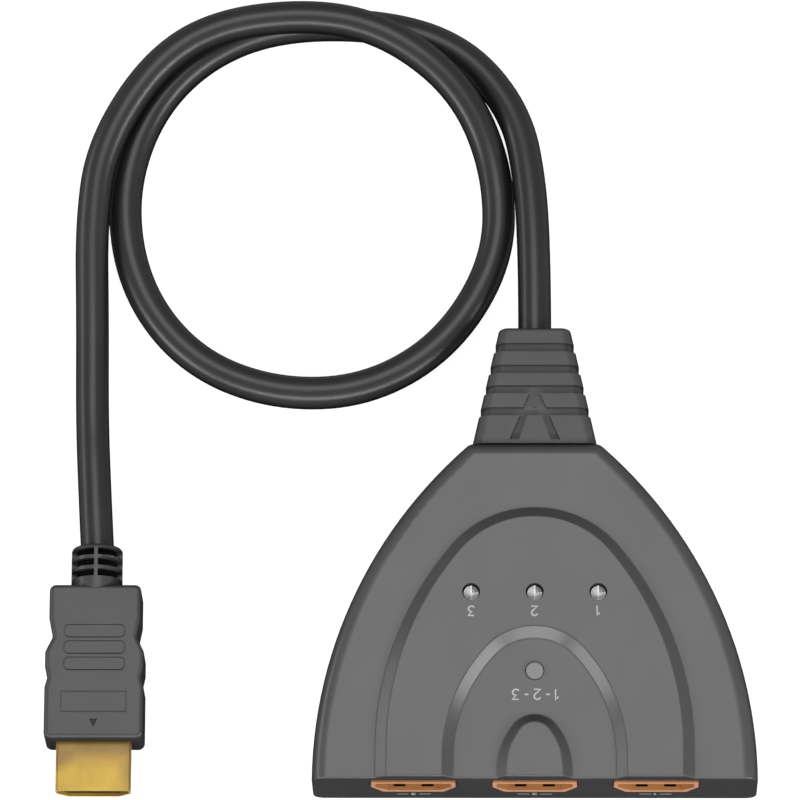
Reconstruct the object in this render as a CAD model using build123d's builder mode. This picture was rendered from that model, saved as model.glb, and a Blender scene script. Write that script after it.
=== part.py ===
from build123d import *
import math
import os

# Three-input HDMI switch box with a captive output lead, in millimetres.
# The ports face -Y, the lead leaves at +Y, the box rests on Z = 0.
# The origin is under the middle of the box and its boot.

os.makedirs("parts", exist_ok=True)

# Housing
housing_width = 81.9
housing_length = 64.7
back_width = 24.2
rim_top = 14.8
terrace_step = 1.5
parting_height = 5.0
wall = 1.8
floor_thickness = 1.6
top_fillet = 2.8
bottom_fillet = 2.2
front_edge_fillet = 0.4
back_corner_fillet = 2.0
lip_height = 0.9
lip_clearance = 0.08

# Terraces: each arch has straight legs, side arcs and a round crown
outer_arch_half = 29.3
outer_arch_crown_share = 0.8
outer_arch_radius = 20.0
outer_arch_leg = 5.7
outer_arch_band = 2.05
middle_arch_half = 17.0
middle_arch_crown = 28.7
middle_arch_radius = 12.0
middle_arch_leg = 3.7
middle_arch_band = 2.05
inner_arch_half = 6.9
inner_arch_crown = 12.15
inner_arch_radius = 5.0
inner_arch_leg = 1.7
inner_arch_band = 1.7
band_fillet = 0.5

# Boot
boot_length = 23.0
boot_base_width = 23.2
boot_end_width = 13.3
boot_base_height = 11.6
boot_end_height = 9.0
boot_corner = 2.0
boot_axis_height = 7.4
boot_groove_depth = 0.75
boot_groove_side_depth = 0.3
boot_band_lengths = (3.13, 2.68, 2.41, 2.77)
boot_groove_lengths = (1.67, 1.64, 1.6, 1.62)
boot_neck_width = 16.4
boot_neck_height = 9.4
boot_flange_width = 20.4
boot_flange_height = 10.4
boot_flange_thickness = 1.9
boot_fit = 0.1
boot_end_round = 0.8
arrow_end_margin = 0.7
arrow_apex_half = 1.0
arrow_base_half = 4.7
island_length = 5.1
island_apex_half = 1.25
island_base_half = 2.9
gate_mark_diameter = 1.0
gate_mark_depth = 0.15
gate_mark_from_island = 1.9

# Input ports
port_pitch = 22.3
port_height = 9.73
mouth_width = 14.0
mouth_height = 4.55
mouth_chamfer = 2.2
mouth_round = 0.5
port_sheet = 0.4
port_depth = 11.0
port_flange_width = 15.5
port_flange_height = 6.95
port_flange_proud = 0.3
port_window_fit = 0.15
finger_window_width = 2.2
finger_window_length = 3.6
finger_window_start = 0.7
finger_spacing = 5.2
finger_width = 1.6
finger_sheet = 0.2
finger_reach = 0.2
finger_bend_share = 0.7
finger_tip_gap = 0.75
tongue_width = 10.8
tongue_thickness = 1.3
tongue_start = 2.5
tongue_length = 4.4
insulator_fit = 0.05
contact_width = 0.35
contact_sheet = 0.15
contact_pitch = 1.0
upper_contacts = 10
lower_contacts = 9
contact_setback = 0.3
upper_contact_bend = 0.9
lower_contact_bend = 0.4
contact_foot = 0.9
port_leg_width = 1.4
port_leg_drop = 2.6
port_leg_fit = 0.15
port_leg_places = (4.2, 9.0)

# Circuit board and what is on it
board_thickness = 1.6
board_fit = 0.5
board_end_gap = 4.5
chip_size = 10.0
chip_height = 1.4
chip_x = -14.5
chip_setback = 22.7
chip_leg_count = 11
chip_leg_pitch = 0.8
chip_leg_width = 0.35
chip_leg_length = 1.0
chip_leg_sheet = 0.2
chip_standoff = 0.15
crystal_length = 11.0
crystal_width = 4.6
crystal_height = 3.4
crystal_rim = 0.4
crystal_rim_height = 0.6
crystal_x = 13.0
crystal_setback = 26.7
regulator_length = 6.5
regulator_width = 3.5
regulator_height = 1.6
regulator_leg_width = 0.7
regulator_leg_length = 1.75
regulator_leg_sheet = 0.3
regulator_leg_pitch = 2.3
regulator_tab_width = 3.0
regulator_x = 15.0
regulator_setback = 17.7
passive_length = 2.0
passive_width = 1.25
passive_height = 0.8
passive_pitch = 3.2
passive_columns = 5
passive_rows = 2
passives_from_end = 7.6

# Status lights
light_spacing = 11.72
light_setback = 35.17
light_hole = 3.3
lens_diameter = 3.0
lens_rim_diameter = 3.7
lens_rim_height = 0.8
lens_height = 5.4
lens_recess = 0.35
lead_width = 0.5
lead_spacing = 1.27
lead_tail = 1.2
lead_hole = 0.9
anvil_width = 1.0
anvil_foot = 1.6
anvil_rise = 2.6
post_rise = 2.9

# Select button and its switch
button_setback = 20.42
button_diameter = 3.3
button_hole = 3.54
button_proud = 0.45
button_collar_diameter = 5.4
button_collar_height = 0.7
button_collar_gap = 0.1
button_skirt_diameter = 5.0
button_skirt_length = 1.5
button_edge_round = 0.25
switch_size = 6.0
switch_corner = 0.8
switch_base_height = 2.9
switch_cavity_diameter = 4.8
switch_cavity_depth = 1.2
switch_cover_sheet = 0.3
switch_cover_hole = 3.8
switch_tab_width = 2.8
switch_tab_length = 1.8
switch_leg_width = 0.7
switch_leg_spacing = 4.5
switch_leg_reach = 1.2
switch_leg_sheet = 0.25
switch_leg_height = 1.0
dome_diameter = 4.4
dome_rise = 0.4
dome_sheet = 0.1
plunger_diameter = 3.4
plunger_collar_diameter = 4.4
plunger_gap = 0.02
plunger_top = 4.6
plunger_socket_fit = 0.05

# Case screws
screw_x_front = 11.15
screw_setback_front = 7.2
screw_x_back = 14.0
screw_from_back = 10.5
boss_diameter = 6.4
upper_boss_diameter = 5.2
screw_head_diameter = 4.4
screw_head_height = 1.6
screw_head_recess = 1.0
screw_head_fit = 0.3
screw_shank_diameter = 2.2
screw_shank_length = 7.6
screw_shank_fit = 0.3
screw_pilot_fit = 0.05
screw_pilot_spare = 0.6
screw_cross_width = 0.5
screw_cross_length = 2.4
screw_cross_depth = 0.7

# Cord and the end of its jacket
cord_diameter = 6.2
cord_lift = 0.05
cord_turn_share = 0.45
cord_exit_length = 13.0
cord_approach_length = 13.2
cord_approach_shift = 0.8
jacket_end_inset = 8.0
clamp_length = 2.6
clamp_sheet = 0.6
clamp_from_end = 1.0
wire_diameter = 1.1
wire_ring = 1.7
wire_count = 5
wire_spread = 2.6
wire_straight = 1.4
wire_landing = 1.6
wire_foot = 2.0
wire_bend = 1.0

# Plug
plug_x = -81.4
plug_face_y = -34.7
plug_length = 29.5
plug_height = 9.6
plug_base_half = 9.18
plug_notch_half = 8.7
plug_bulge_half = 9.15
plug_waist_half = 7.8
plug_shoulder_half = 8.5
plug_side_shares = (0.335, 0.395, 0.47, 0.565, 0.66, 0.785)
plug_side_fillet = 1.2
plug_edge_fillet = 0.9
plug_neck_diameter = 9.5
plug_neck_length = 8.0
plug_neck_round = 0.8
neck_slot_width = 1.4
neck_slot_pitch = 2.04
neck_slot_depth = 1.3
neck_slot_count = 3
neck_first_slot = 1.7
neck_spine_width = 0.68
grip_bar_length = 11.0
grip_bar_width = 2.2
grip_bar_corner = 0.8
grip_bar_rise = 0.15
grip_bar_line = 0.2
grip_bar_pitch = 3.13
grip_bar_count = 3
grip_bar_first = 14.2
frame_length = 12.3
frame_width = 4.1
frame_line = 0.25
frame_depth = 0.15
frame_from_face = 6.95
pointer_half = 0.75
pointer_from_face = 2.9
pointer_depth = 0.35
plug_mouth_width = 13.9
plug_mouth_height = 4.45
plug_sheet = 0.35
plug_shell_out = 9.35
plug_shell_in = 3.0
plug_insulator_setback = 0.6
plug_slot_width = 11.4
plug_slot_height = 2.0
plug_slot_depth = 6.4
plug_contact_length = 5.6

# One overrun for all cuts, and one sliver by which fused neighbours overlap
overrun = 1.0
bite = 0.05

# Places that follow from the sizes above
overall_length = port_flange_proud + housing_length + boot_length
front_y = port_flange_proud - overall_length / 2
back_y = front_y + housing_length
boot_end_y = back_y + boot_length
raised_top = rim_top + terrace_step
outer_arch_crown = outer_arch_crown_share * housing_length
ceiling = rim_top - wall
side_radius = ((housing_width - back_width) ** 2 / 4 + housing_length**2) / (housing_width - back_width)
side_centre_x = housing_width / 2 - side_radius
mouth_y = front_y - port_flange_proud
board_top = port_height - mouth_height / 2 - port_sheet
board_bottom = board_top - board_thickness
port_places = [(port_pitch, 1), (0, 2), (-port_pitch, 3)]
light_y = front_y + light_setback
light_places = [(light_spacing, 1), (0, 2), (-light_spacing, 3)]
button_y = front_y + button_setback
lens_top = raised_top - lens_recess
lens_bottom = lens_top - lens_height
front_screws = [(side * screw_x_front, front_y + screw_setback_front) for side in (-1, 1)]
back_screws = [(side * screw_x_back, back_y - screw_from_back) for side in (-1, 1)]
board_back = back_y - screw_from_back - board_end_gap
chip_y = front_y + chip_setback
crystal_y = front_y + crystal_setback
regulator_y = front_y + regulator_setback
passives_y = board_back - passives_from_end
screw_seat = screw_head_recess + screw_head_height
plug_axis_height = plug_height / 2
plug_back_y = plug_face_y + plug_length
neck_end_y = plug_back_y + plug_neck_length
cord_rest = cord_diameter / 2 + cord_lift
jacket_end_y = back_y - jacket_end_inset
on_top = (Align.CENTER, Align.CENTER, Align.MIN)


def fan_outline(inset):
    """Put the housing's fan-shaped outline, moved inwards by the inset, into the sketch in hand."""
    radius = side_radius - inset
    near = front_y + inset
    far = back_y - inset
    near_turn = math.asin(inset / radius)
    far_turn = math.asin((far - front_y) / radius)
    turns = (near_turn, (near_turn + far_turn) / 2, far_turn)
    right = [(side_centre_x + radius * math.cos(turn), front_y + radius * math.sin(turn)) for turn in turns]
    left = [(-x, y) for x, y in right]
    with BuildLine() as outline:
        Line((left[0][0], near), (right[0][0], near))
        ThreePointArc(*right)
        Line((right[2][0], far), (left[2][0], far))
        ThreePointArc(*left)
    make_face(outline.edges())


def arch_outline(half, crown, crown_radius, leg, inset):
    """Put an arch into the sketch in hand: legs from the housing's front, side arcs and a round crown.

    The inset moves the arch inwards. The crown and the leg are counted from the front.
    """
    leg_y = front_y + leg
    crown_centre = front_y + crown - crown_radius
    rise = crown_centre - leg_y
    arc_radius = (half**2 + rise**2 - crown_radius**2) / (2 * (half - crown_radius))
    arc_centre = half - arc_radius
    turn = math.atan2(rise, -arc_centre)
    small = arc_radius - inset
    with BuildLine() as outline:
        for side in (-1, 1):
            foot = (side * (half - inset), leg_y)
            middle = (side * (arc_centre + small * math.cos(turn / 2)), leg_y + small * math.sin(turn / 2))
            join = (side * (arc_centre + small * math.cos(turn)), leg_y + small * math.sin(turn))
            Line((side * (half - inset), front_y), foot)
            ThreePointArc(foot, middle, join)
        ThreePointArc((-join[0], join[1]), (0, crown_centre + crown_radius - inset), join)
        Line((inset - half, front_y), (half - inset, front_y))
    make_face(outline.edges())


def arch_loft(sizes, band, inset, low, rising, mode):
    """Add or cut one terrace, a step high, whose side slopes over its band."""
    with BuildSketch(Plane.XY.offset(low)) as foot:
        arch_outline(*sizes, inset if rising else inset + band)
    with BuildSketch(Plane.XY.offset(low + terrace_step)) as head:
        arch_outline(*sizes, inset + band if rising else inset)
    loft([foot.sketch, head.sketch], ruled=True, mode=mode)


outer_arch = (outer_arch_half, outer_arch_crown, outer_arch_radius, outer_arch_leg)
middle_arch = (middle_arch_half, middle_arch_crown, middle_arch_radius, middle_arch_leg)
inner_arch = (inner_arch_half, inner_arch_crown, inner_arch_radius, inner_arch_leg)


def terraces(inset, low):
    """Step the flat top of the part in hand: up at the outer arch, down at the middle, up at the inner."""
    arch_loft(outer_arch, outer_arch_band, inset, low, True, Mode.ADD)
    arch_loft(middle_arch, middle_arch_band, -inset, low, False, Mode.SUBTRACT)
    arch_loft(inner_arch, inner_arch_band, inset, low, True, Mode.ADD)


def cross_plane(x, y, z):
    """Give the plane through a point that looks along -Y, with +X to the right and +Z up."""
    return Plane(origin=(x, y, z), x_dir=(1, 0, 0), z_dir=(0, -1, 0))


def mouth_slab(middle, thickness, width, height, grow, mode=Mode.ADD):
    """Extrude the connector's profile, wide on top with chamfered lower corners, towards +Y."""
    top = height / 2
    low = width / 2 - mouth_chamfer
    with BuildSketch(cross_plane(*middle)) as section:
        with BuildLine() as outline:
            Polyline((-width / 2, 0), (-width / 2, top), (width / 2, top), (width / 2, 0),
                     (low, -top), (-low, -top), close=True)
        make_face(outline.edges())
        fillet(section.vertices(), mouth_round)
        if grow:
            offset(amount=grow)
    extrude(section.sketch, amount=-thickness, mode=mode)


def rounded_slab(middle, thickness, width, height, corner, mode=Mode.ADD):
    """Extrude a rounded rectangle, upright across the box, towards +Y."""
    with BuildSketch(cross_plane(*middle)) as section:
        RectangleRounded(width, height, corner)
    extrude(section.sketch, amount=-thickness, mode=mode)


def side_profile(x, points, width):
    """Extrude a closed outline of (y, z) points evenly to both sides of the given x."""
    with BuildSketch(Plane.YZ.offset(x)) as section:
        with BuildLine() as outline:
            Polyline(*points, close=True)
        make_face(outline.edges())
    extrude(section.sketch, amount=width / 2, both=True)


def row(count, pitch):
    """Give the places of a centred row."""
    return [(place - (count - 1) / 2) * pitch for place in range(count)]


def finish(builder, label):
    """Label a finished piece and write it out."""
    builder.part.label = label
    export_step(builder.part, "parts/" + label + ".step")


# Upper shell: the fan with its terraces, hollow inside
with BuildPart() as cavity:
    with BuildSketch(Plane.XY.offset(parting_height)):
        fan_outline(wall)
    extrude(amount=ceiling - parting_height)
    terraces(wall, ceiling)
    with BuildSketch(Plane.XY.offset(parting_height)) as reach:
        fan_outline(wall)
    extrude(reach.sketch, amount=ceiling + terrace_step - parting_height, mode=Mode.INTERSECT)

with BuildPart() as upper_shell:
    with BuildSketch(Plane.XY.offset(parting_height)):
        fan_outline(0)
    extrude(amount=rim_top - parting_height)
    fillet(edges().filter_by(Axis.Z).group_by(Axis.Y)[-1], back_corner_fillet)
    fillet(faces().sort_by(Axis.Z)[-1].edges().sort_by(Axis.Y)[1:], top_fillet)
    terraces(0, rim_top)
    roofs = faces().filter_by(Plane.XY).group_by(Axis.Z)
    lower_roofs = roofs[-2].sort_by(SortBy.AREA)
    rim_edges = lower_roofs[-1].edges().filter_by(
        lambda edge: abs(edge.center().X) < outer_arch_half + bite
        and edge.center().Y < front_y + outer_arch_crown + bite)
    band_edges = roofs[-1].edges() + lower_roofs[0].edges() + rim_edges
    fillet(band_edges.filter_by(lambda edge: edge.center().Y > front_y + bite), band_fillet)
    front_top = faces().filter_by(Plane.XZ).sort_by(Axis.Y)[0].edges()
    fillet(front_top.filter_by(lambda edge: edge.center().Z > parting_height + wall), front_edge_fillet)
    add(cavity.part, mode=Mode.SUBTRACT)
    with BuildSketch(Plane.XY.offset(parting_height)) as rebate:
        fan_outline(wall / 2)
    extrude(rebate.sketch, amount=lip_height + lip_clearance, mode=Mode.SUBTRACT)
    for port_x, number in port_places:
        mouth_slab((port_x, front_y - overrun, port_height), wall + 2 * overrun,
                   port_flange_width + 2 * port_window_fit, port_flange_height + 2 * port_window_fit,
                   0, Mode.SUBTRACT)
    with Locations(*[(light_x, light_y, raised_top) for light_x, number in light_places]):
        Hole(light_hole / 2)
    with Locations((0, button_y, rim_top)):
        Hole(button_hole / 2)
    rounded_slab((0, back_y - wall - overrun, boot_axis_height), wall + 2 * overrun,
                 boot_neck_width + 2 * boot_fit, boot_neck_height + 2 * boot_fit,
                 boot_corner + boot_fit, Mode.SUBTRACT)
    for places, foot in ((front_screws, board_top), (back_screws, board_bottom)):
        with Locations(*[(x, y, foot) for x, y in places]):
            Cylinder(upper_boss_diameter / 2, ceiling + bite - foot, align=on_top)
            Cylinder(screw_shank_diameter / 2 + screw_pilot_fit,
                     screw_seat + screw_shank_length + screw_pilot_spare - foot,
                     align=on_top, mode=Mode.SUBTRACT)
finish(upper_shell, "upper_shell")

# Lower shell: a tray with a lap lip and four screw bosses
with BuildPart() as lower_shell:
    with BuildSketch():
        fan_outline(0)
    extrude(amount=parting_height)
    fillet(edges().filter_by(Axis.Z).group_by(Axis.Y)[-1], back_corner_fillet)
    fillet(faces().sort_by(Axis.Z)[0].edges().sort_by(Axis.Y)[1:], bottom_fillet)
    front_bottom = faces().filter_by(Plane.XZ).sort_by(Axis.Y)[0].edges()
    fillet(front_bottom.filter_by(lambda edge: edge.center().Z < parting_height - wall), front_edge_fillet)
    with BuildSketch(Plane.XY.offset(parting_height)) as lip:
        fan_outline(wall / 2 + lip_clearance)
    extrude(lip.sketch, amount=lip_height)
    with BuildSketch(Plane.XY.offset(floor_thickness)) as hollow:
        fan_outline(wall)
    extrude(hollow.sketch, amount=parting_height, mode=Mode.SUBTRACT)
    rounded_slab((0, back_y - wall - overrun, boot_axis_height), wall + 2 * overrun,
                 boot_neck_width + 2 * boot_fit, boot_neck_height + 2 * boot_fit,
                 boot_corner + boot_fit, Mode.SUBTRACT)
    with Locations(*[(x, y, 0) for x, y in front_screws + back_screws]):
        with Locations((0, 0, floor_thickness - bite)):
            Cylinder(boss_diameter / 2, board_bottom - floor_thickness + bite, align=on_top)
        Cylinder(screw_head_diameter / 2 + screw_head_fit, screw_seat, align=on_top, mode=Mode.SUBTRACT)
        Cylinder(screw_shank_diameter / 2 + screw_shank_fit, board_bottom, align=on_top, mode=Mode.SUBTRACT)
finish(lower_shell, "lower_shell")

# Case screws, put in from below
with BuildPart() as case_screws:
    with Locations(*[(x, y, screw_head_recess) for x, y in front_screws + back_screws]):
        Cylinder(screw_head_diameter / 2, screw_head_height, align=on_top)
        Cylinder(screw_shank_diameter / 2, screw_head_height + screw_shank_length, align=on_top)
        Box(screw_cross_length, screw_cross_width, screw_cross_depth, align=on_top, mode=Mode.SUBTRACT)
        Box(screw_cross_width, screw_cross_length, screw_cross_depth, align=on_top, mode=Mode.SUBTRACT)
finish(case_screws, "case_screws")


def contact(x, strip_top, front, bend, foot_length):
    """Add one contact: a strip back from the front, a drop to the board and a foot on it."""
    foot_top = board_top + contact_sheet
    side_profile(x, ((front, strip_top), (bend, strip_top), (bend, foot_top), (bend + foot_length, foot_top),
                     (bend + foot_length, board_top), (bend - contact_sheet, board_top),
                     (bend - contact_sheet, strip_top - contact_sheet), (front, strip_top - contact_sheet)),
                 contact_width)


def finger(x, side):
    """Add one spring finger: from the far end of its window it dips into the mouth and lifts at the tip."""
    root = mouth_y + finger_window_start + finger_window_length
    bend = root - finger_bend_share * finger_window_length
    tip = mouth_y + finger_window_start + finger_tip_gap
    face = port_height + side * mouth_height / 2
    dip = face - side * finger_reach
    side_profile(x, ((root + bite, face), (bend, dip), (tip, face), (tip, face + side * finger_sheet),
                     (bend, dip + side * finger_sheet), (root + bite, face + side * finger_sheet)),
                 finger_width)


def make_port(port_x, number):
    """Build one input receptacle: folded metal shell, insulator with its tongue, and contacts."""
    middle = (port_x, mouth_y, port_height)
    window_middle = mouth_y + finger_window_start + finger_window_length / 2
    with BuildPart() as port_shell:
        mouth_slab(middle, port_sheet, port_flange_width, port_flange_height, 0)
        mouth_slab(middle, port_depth, mouth_width, mouth_height, port_sheet)
        mouth_slab(middle, port_depth, mouth_width, mouth_height, 0, Mode.SUBTRACT)
        for side in (-1, 1):
            wall_height = port_height + side * (mouth_height + port_sheet) / 2
            for finger_x in row(2, finger_spacing):
                with Locations((port_x + finger_x, window_middle, wall_height)):
                    Box(finger_window_width, finger_window_length, port_sheet + 2 * bite, mode=Mode.SUBTRACT)
                finger(port_x + finger_x, side)
            for leg_place in port_leg_places:
                leg_x = port_x + side * (mouth_width + port_sheet) / 2
                with Locations((leg_x, mouth_y + leg_place, board_top - port_leg_drop)):
                    Box(port_sheet, port_leg_width, port_height + port_leg_drop - board_top, align=on_top)
    finish(port_shell, f"port_{number}_shell")

    with BuildPart() as port_contacts:
        for contact_x in row(upper_contacts, contact_pitch):
            contact(port_x + contact_x, port_height + tongue_thickness / 2,
                    mouth_y + tongue_start + contact_setback,
                    mouth_y + port_depth + upper_contact_bend, contact_foot)
        for contact_x in row(lower_contacts, contact_pitch):
            contact(port_x + contact_x, port_height - tongue_thickness / 2 + contact_sheet,
                    mouth_y + tongue_start + contact_setback,
                    mouth_y + port_depth + lower_contact_bend, contact_foot)
    finish(port_contacts, f"port_{number}_contacts")

    with BuildPart() as port_insulator:
        block_start = tongue_start + tongue_length
        mouth_slab((port_x, mouth_y + block_start, port_height), port_depth - block_start,
                   mouth_width, mouth_height, -insulator_fit)
        with Locations((port_x, mouth_y + (tongue_start + port_depth) / 2, port_height)):
            Box(tongue_width, port_depth - tongue_start, tongue_thickness)
        add(port_contacts.part, mode=Mode.SUBTRACT)
    finish(port_insulator, f"port_{number}_insulator")


for port_x, number in port_places:
    make_port(port_x, number)

# Circuit board, cut square behind the middle
with BuildPart() as circuit_board:
    with BuildSketch(Plane.XY.offset(board_bottom)):
        fan_outline(wall + board_fit)
        with Locations((0, board_back)):
            Rectangle(housing_width, housing_length, align=(Align.CENTER, Align.MIN), mode=Mode.SUBTRACT)
        with Locations(*front_screws):
            Circle(screw_shank_diameter / 2 + screw_shank_fit, mode=Mode.SUBTRACT)
        for port_x, number in port_places:
            for side in (-1, 1):
                leg_x = port_x + side * (mouth_width + port_sheet) / 2
                with Locations(*[(leg_x, mouth_y + leg_place) for leg_place in port_leg_places]):
                    Rectangle(port_sheet + 2 * port_leg_fit, port_leg_width + 2 * port_leg_fit,
                              mode=Mode.SUBTRACT)
        for light_x, number in light_places:
            with Locations(*[(light_x + lead_x, light_y) for lead_x in row(2, lead_spacing)]):
                Circle(lead_hole / 2, mode=Mode.SUBTRACT)
    extrude(amount=board_thickness)
finish(circuit_board, "circuit_board")


def leg_outline(body_half, reach, shoulder, sheet):
    """Put a bent leg into the sketch in hand: out of the body at its shoulder, down, out on the board."""
    inner = body_half - bite
    knee = body_half + reach / 2
    end = body_half + reach
    with BuildLine() as outline:
        Polyline((inner, shoulder), (knee, shoulder), (knee, board_top + sheet), (end, board_top + sheet),
                 (end, board_top), (knee - sheet, board_top), (knee - sheet, shoulder - sheet),
                 (inner, shoulder - sheet), close=True)
    make_face(outline.edges())


# Switch chip with legs on its four sides
with BuildPart() as switch_chip:
    with Locations((chip_x, chip_y, board_top + chip_standoff)):
        Box(chip_size, chip_size, chip_height, align=on_top)
    shoulder = board_top + chip_standoff + chip_height / 2
    for direction in ((1, 0), (0, 1), (-1, 0), (0, -1)):
        side_plane = Plane(origin=(chip_x, chip_y, 0), x_dir=(*direction, 0),
                           z_dir=(direction[1], -direction[0], 0))
        for leg_place in row(chip_leg_count, chip_leg_pitch):
            with BuildSketch(side_plane.offset(leg_place)) as leg:
                leg_outline(chip_size / 2, chip_leg_length, shoulder, chip_leg_sheet)
            extrude(leg.sketch, amount=chip_leg_width / 2, both=True)
finish(switch_chip, "switch_chip")

# Crystal: a can on a rimmed base
with BuildPart() as crystal:
    with BuildSketch(Plane.XY.offset(board_top)) as rim:
        with Locations((crystal_x, crystal_y)):
            SlotOverall(crystal_length, crystal_width)
    extrude(rim.sketch, amount=crystal_rim_height)
    with BuildSketch(Plane.XY.offset(board_top)) as can:
        with Locations((crystal_x, crystal_y)):
            SlotOverall(crystal_length - 2 * crystal_rim, crystal_width - 2 * crystal_rim)
    extrude(can.sketch, amount=crystal_height)
finish(crystal, "crystal")

# Voltage regulator: three legs in front, a tab behind
with BuildPart() as regulator:
    with Locations((regulator_x, regulator_y, board_top)):
        Box(regulator_length, regulator_width, regulator_height, align=on_top)
        with Locations((0, regulator_width / 2 + regulator_leg_length / 2 - bite, 0)):
            Box(regulator_tab_width, regulator_leg_length, regulator_leg_sheet, align=on_top)
        with Locations(*[(leg_place, bite - regulator_width / 2 - regulator_leg_length / 2, 0)
                         for leg_place in row(3, regulator_leg_pitch)]):
            Box(regulator_leg_width, regulator_leg_length, regulator_leg_sheet, align=on_top)
finish(regulator, "regulator")

# Small resistors and capacitors
with BuildPart() as board_passives:
    with Locations((0, passives_y, board_top)):
        with GridLocations(passive_pitch, passive_pitch, passive_columns, passive_rows):
            Box(passive_width, passive_length, passive_height, align=on_top)
finish(board_passives, "board_passives")


def make_light(light_x, number):
    """Build one status light: a pair of leads, and the domed clear lens moulded round them."""
    lead_foot = board_bottom - lead_tail
    with BuildPart() as light_leads:
        for lead_x, rise, head_side in ((-lead_spacing / 2, anvil_rise, 1), (lead_spacing / 2, post_rise, 0)):
            with Locations((light_x + lead_x, light_y, lead_foot)):
                Box(lead_width, lead_width, lens_bottom + rise - lead_foot, align=on_top)
            with Locations((light_x + lead_x, light_y, lens_bottom + anvil_foot)):
                Box(anvil_width * head_side + lead_width * (1 - head_side), lead_width,
                    rise - anvil_foot, align=on_top)
    finish(light_leads, f"light_{number}_leads")

    with BuildPart() as light_lens:
        with BuildSketch(Plane.XZ.offset(-light_y)) as half:
            with BuildLine() as outline:
                radius = lens_diameter / 2
                shoulder = lens_top - radius
                ring = lens_bottom + lens_rim_height
                Polyline((0, lens_bottom), (lens_rim_diameter / 2, lens_bottom),
                         (lens_rim_diameter / 2, ring), (radius, ring), (radius, shoulder))
                CenterArc((0, shoulder), radius, 0, 90)
                Line((0, lens_top), (0, lens_bottom))
            make_face(outline.edges())
        revolve(half.sketch, axis=Axis((0, light_y, 0), (0, 0, 1)))
    lens_at_place = light_lens.part.moved(Location((light_x, 0, 0)))
    with BuildPart() as placed_lens:
        add(lens_at_place)
        add(light_leads.part, mode=Mode.SUBTRACT)
    finish(placed_lens, f"light_{number}_lens")


for light_x, number in light_places:
    make_light(light_x, number)

# Select switch: base, snap dome, plunger and metal cover
cavity_floor = board_top + switch_base_height - switch_cavity_depth
switch_top = board_top + switch_base_height
with BuildPart() as switch_base:
    with BuildSketch(Plane.XY.offset(board_top)) as base_plan:
        with Locations((0, button_y)):
            RectangleRounded(switch_size, switch_size, switch_corner)
    extrude(base_plan.sketch, amount=switch_base_height)
    with Locations((0, button_y, cavity_floor)):
        Cylinder(switch_cavity_diameter / 2, switch_cavity_depth + overrun, align=on_top, mode=Mode.SUBTRACT)
    for side in (-1, 1):
        side_plane = Plane(origin=(0, button_y, 0), x_dir=(side, 0, 0), z_dir=(0, -side, 0))
        for leg_place in row(2, switch_leg_spacing):
            with BuildSketch(side_plane.offset(leg_place)) as leg:
                leg_outline(switch_size / 2, switch_leg_reach, board_top + switch_leg_height,
                            switch_leg_sheet)
            extrude(leg.sketch, amount=switch_leg_width / 2, both=True)
finish(switch_base, "switch_base")

with BuildPart() as switch_dome:
    ball = ((dome_diameter / 2) ** 2 + dome_rise**2) / (2 * dome_rise)
    crown = cavity_floor + dome_rise
    with BuildSketch(Plane.XZ) as half:
        with BuildLine() as outline:
            edge_top = (dome_diameter / 2, cavity_floor)
            turn = math.asin(dome_diameter / 4 / ball)
            inner_ball = ball - dome_sheet
            inner_edge = math.sqrt(inner_ball**2 - (ball - dome_rise) ** 2)
            inner_turn = math.asin(inner_edge / 2 / inner_ball)
            ThreePointArc((0, crown), (ball * math.sin(turn), crown - ball + ball * math.cos(turn)), edge_top)
            Line(edge_top, (inner_edge, cavity_floor))
            ThreePointArc((inner_edge, cavity_floor), (inner_ball * math.sin(inner_turn),
                          crown - ball + inner_ball * math.cos(inner_turn)), (0, crown - dome_sheet))
            Line((0, crown - dome_sheet), (0, crown))
        make_face(outline.edges())
    revolve(half.sketch, axis=Axis.Z)
switch_dome.part.locate(Location((0, button_y, 0)))
finish(switch_dome, "switch_dome")

plunger_foot = crown + plunger_gap
with BuildPart() as switch_plunger:
    with Locations((0, button_y, plunger_foot)):
        Cylinder(plunger_collar_diameter / 2, switch_top - plunger_gap - plunger_foot, align=on_top)
        Cylinder(plunger_diameter / 2, board_top + plunger_top - plunger_foot, align=on_top)
finish(switch_plunger, "switch_plunger")

with BuildPart() as switch_cover:
    with BuildSketch(Plane.XY.offset(switch_top)) as plate:
        with Locations((0, button_y)):
            RectangleRounded(switch_size, switch_size, switch_corner)
            Circle(switch_cover_hole / 2, mode=Mode.SUBTRACT)
    extrude(plate.sketch, amount=switch_cover_sheet)
    for side in (-1, 1):
        with Locations((0, button_y + side * (switch_size + switch_cover_sheet) / 2,
                        switch_top + switch_cover_sheet)):
            Box(switch_tab_width, switch_cover_sheet, switch_tab_length,
                align=(Align.CENTER, Align.CENTER, Align.MAX))
finish(switch_cover, "switch_cover")

# Select button: cap, collar under the cover, and a skirt that fits over the plunger
collar_top = ceiling - button_collar_gap
with BuildPart() as select_button:
    with Locations((0, button_y, collar_top - button_collar_height)):
        Cylinder(button_collar_diameter / 2, button_collar_height, align=on_top)
        Cylinder(button_diameter / 2, rim_top + button_proud - collar_top + button_collar_height,
                 align=on_top)
        Cylinder(button_skirt_diameter / 2, button_skirt_length,
                 align=(Align.CENTER, Align.CENTER, Align.MAX))
    fillet(faces().sort_by(Axis.Z)[-1].edges(), button_edge_round)
    socket_foot = collar_top - button_collar_height - button_skirt_length
    with Locations((0, button_y, socket_foot)):
        Cylinder(plunger_diameter / 2 + plunger_socket_fit,
                 board_top + plunger_top + plunger_gap - socket_foot, align=on_top, mode=Mode.SUBTRACT)
finish(select_button, "select_button")


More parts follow.
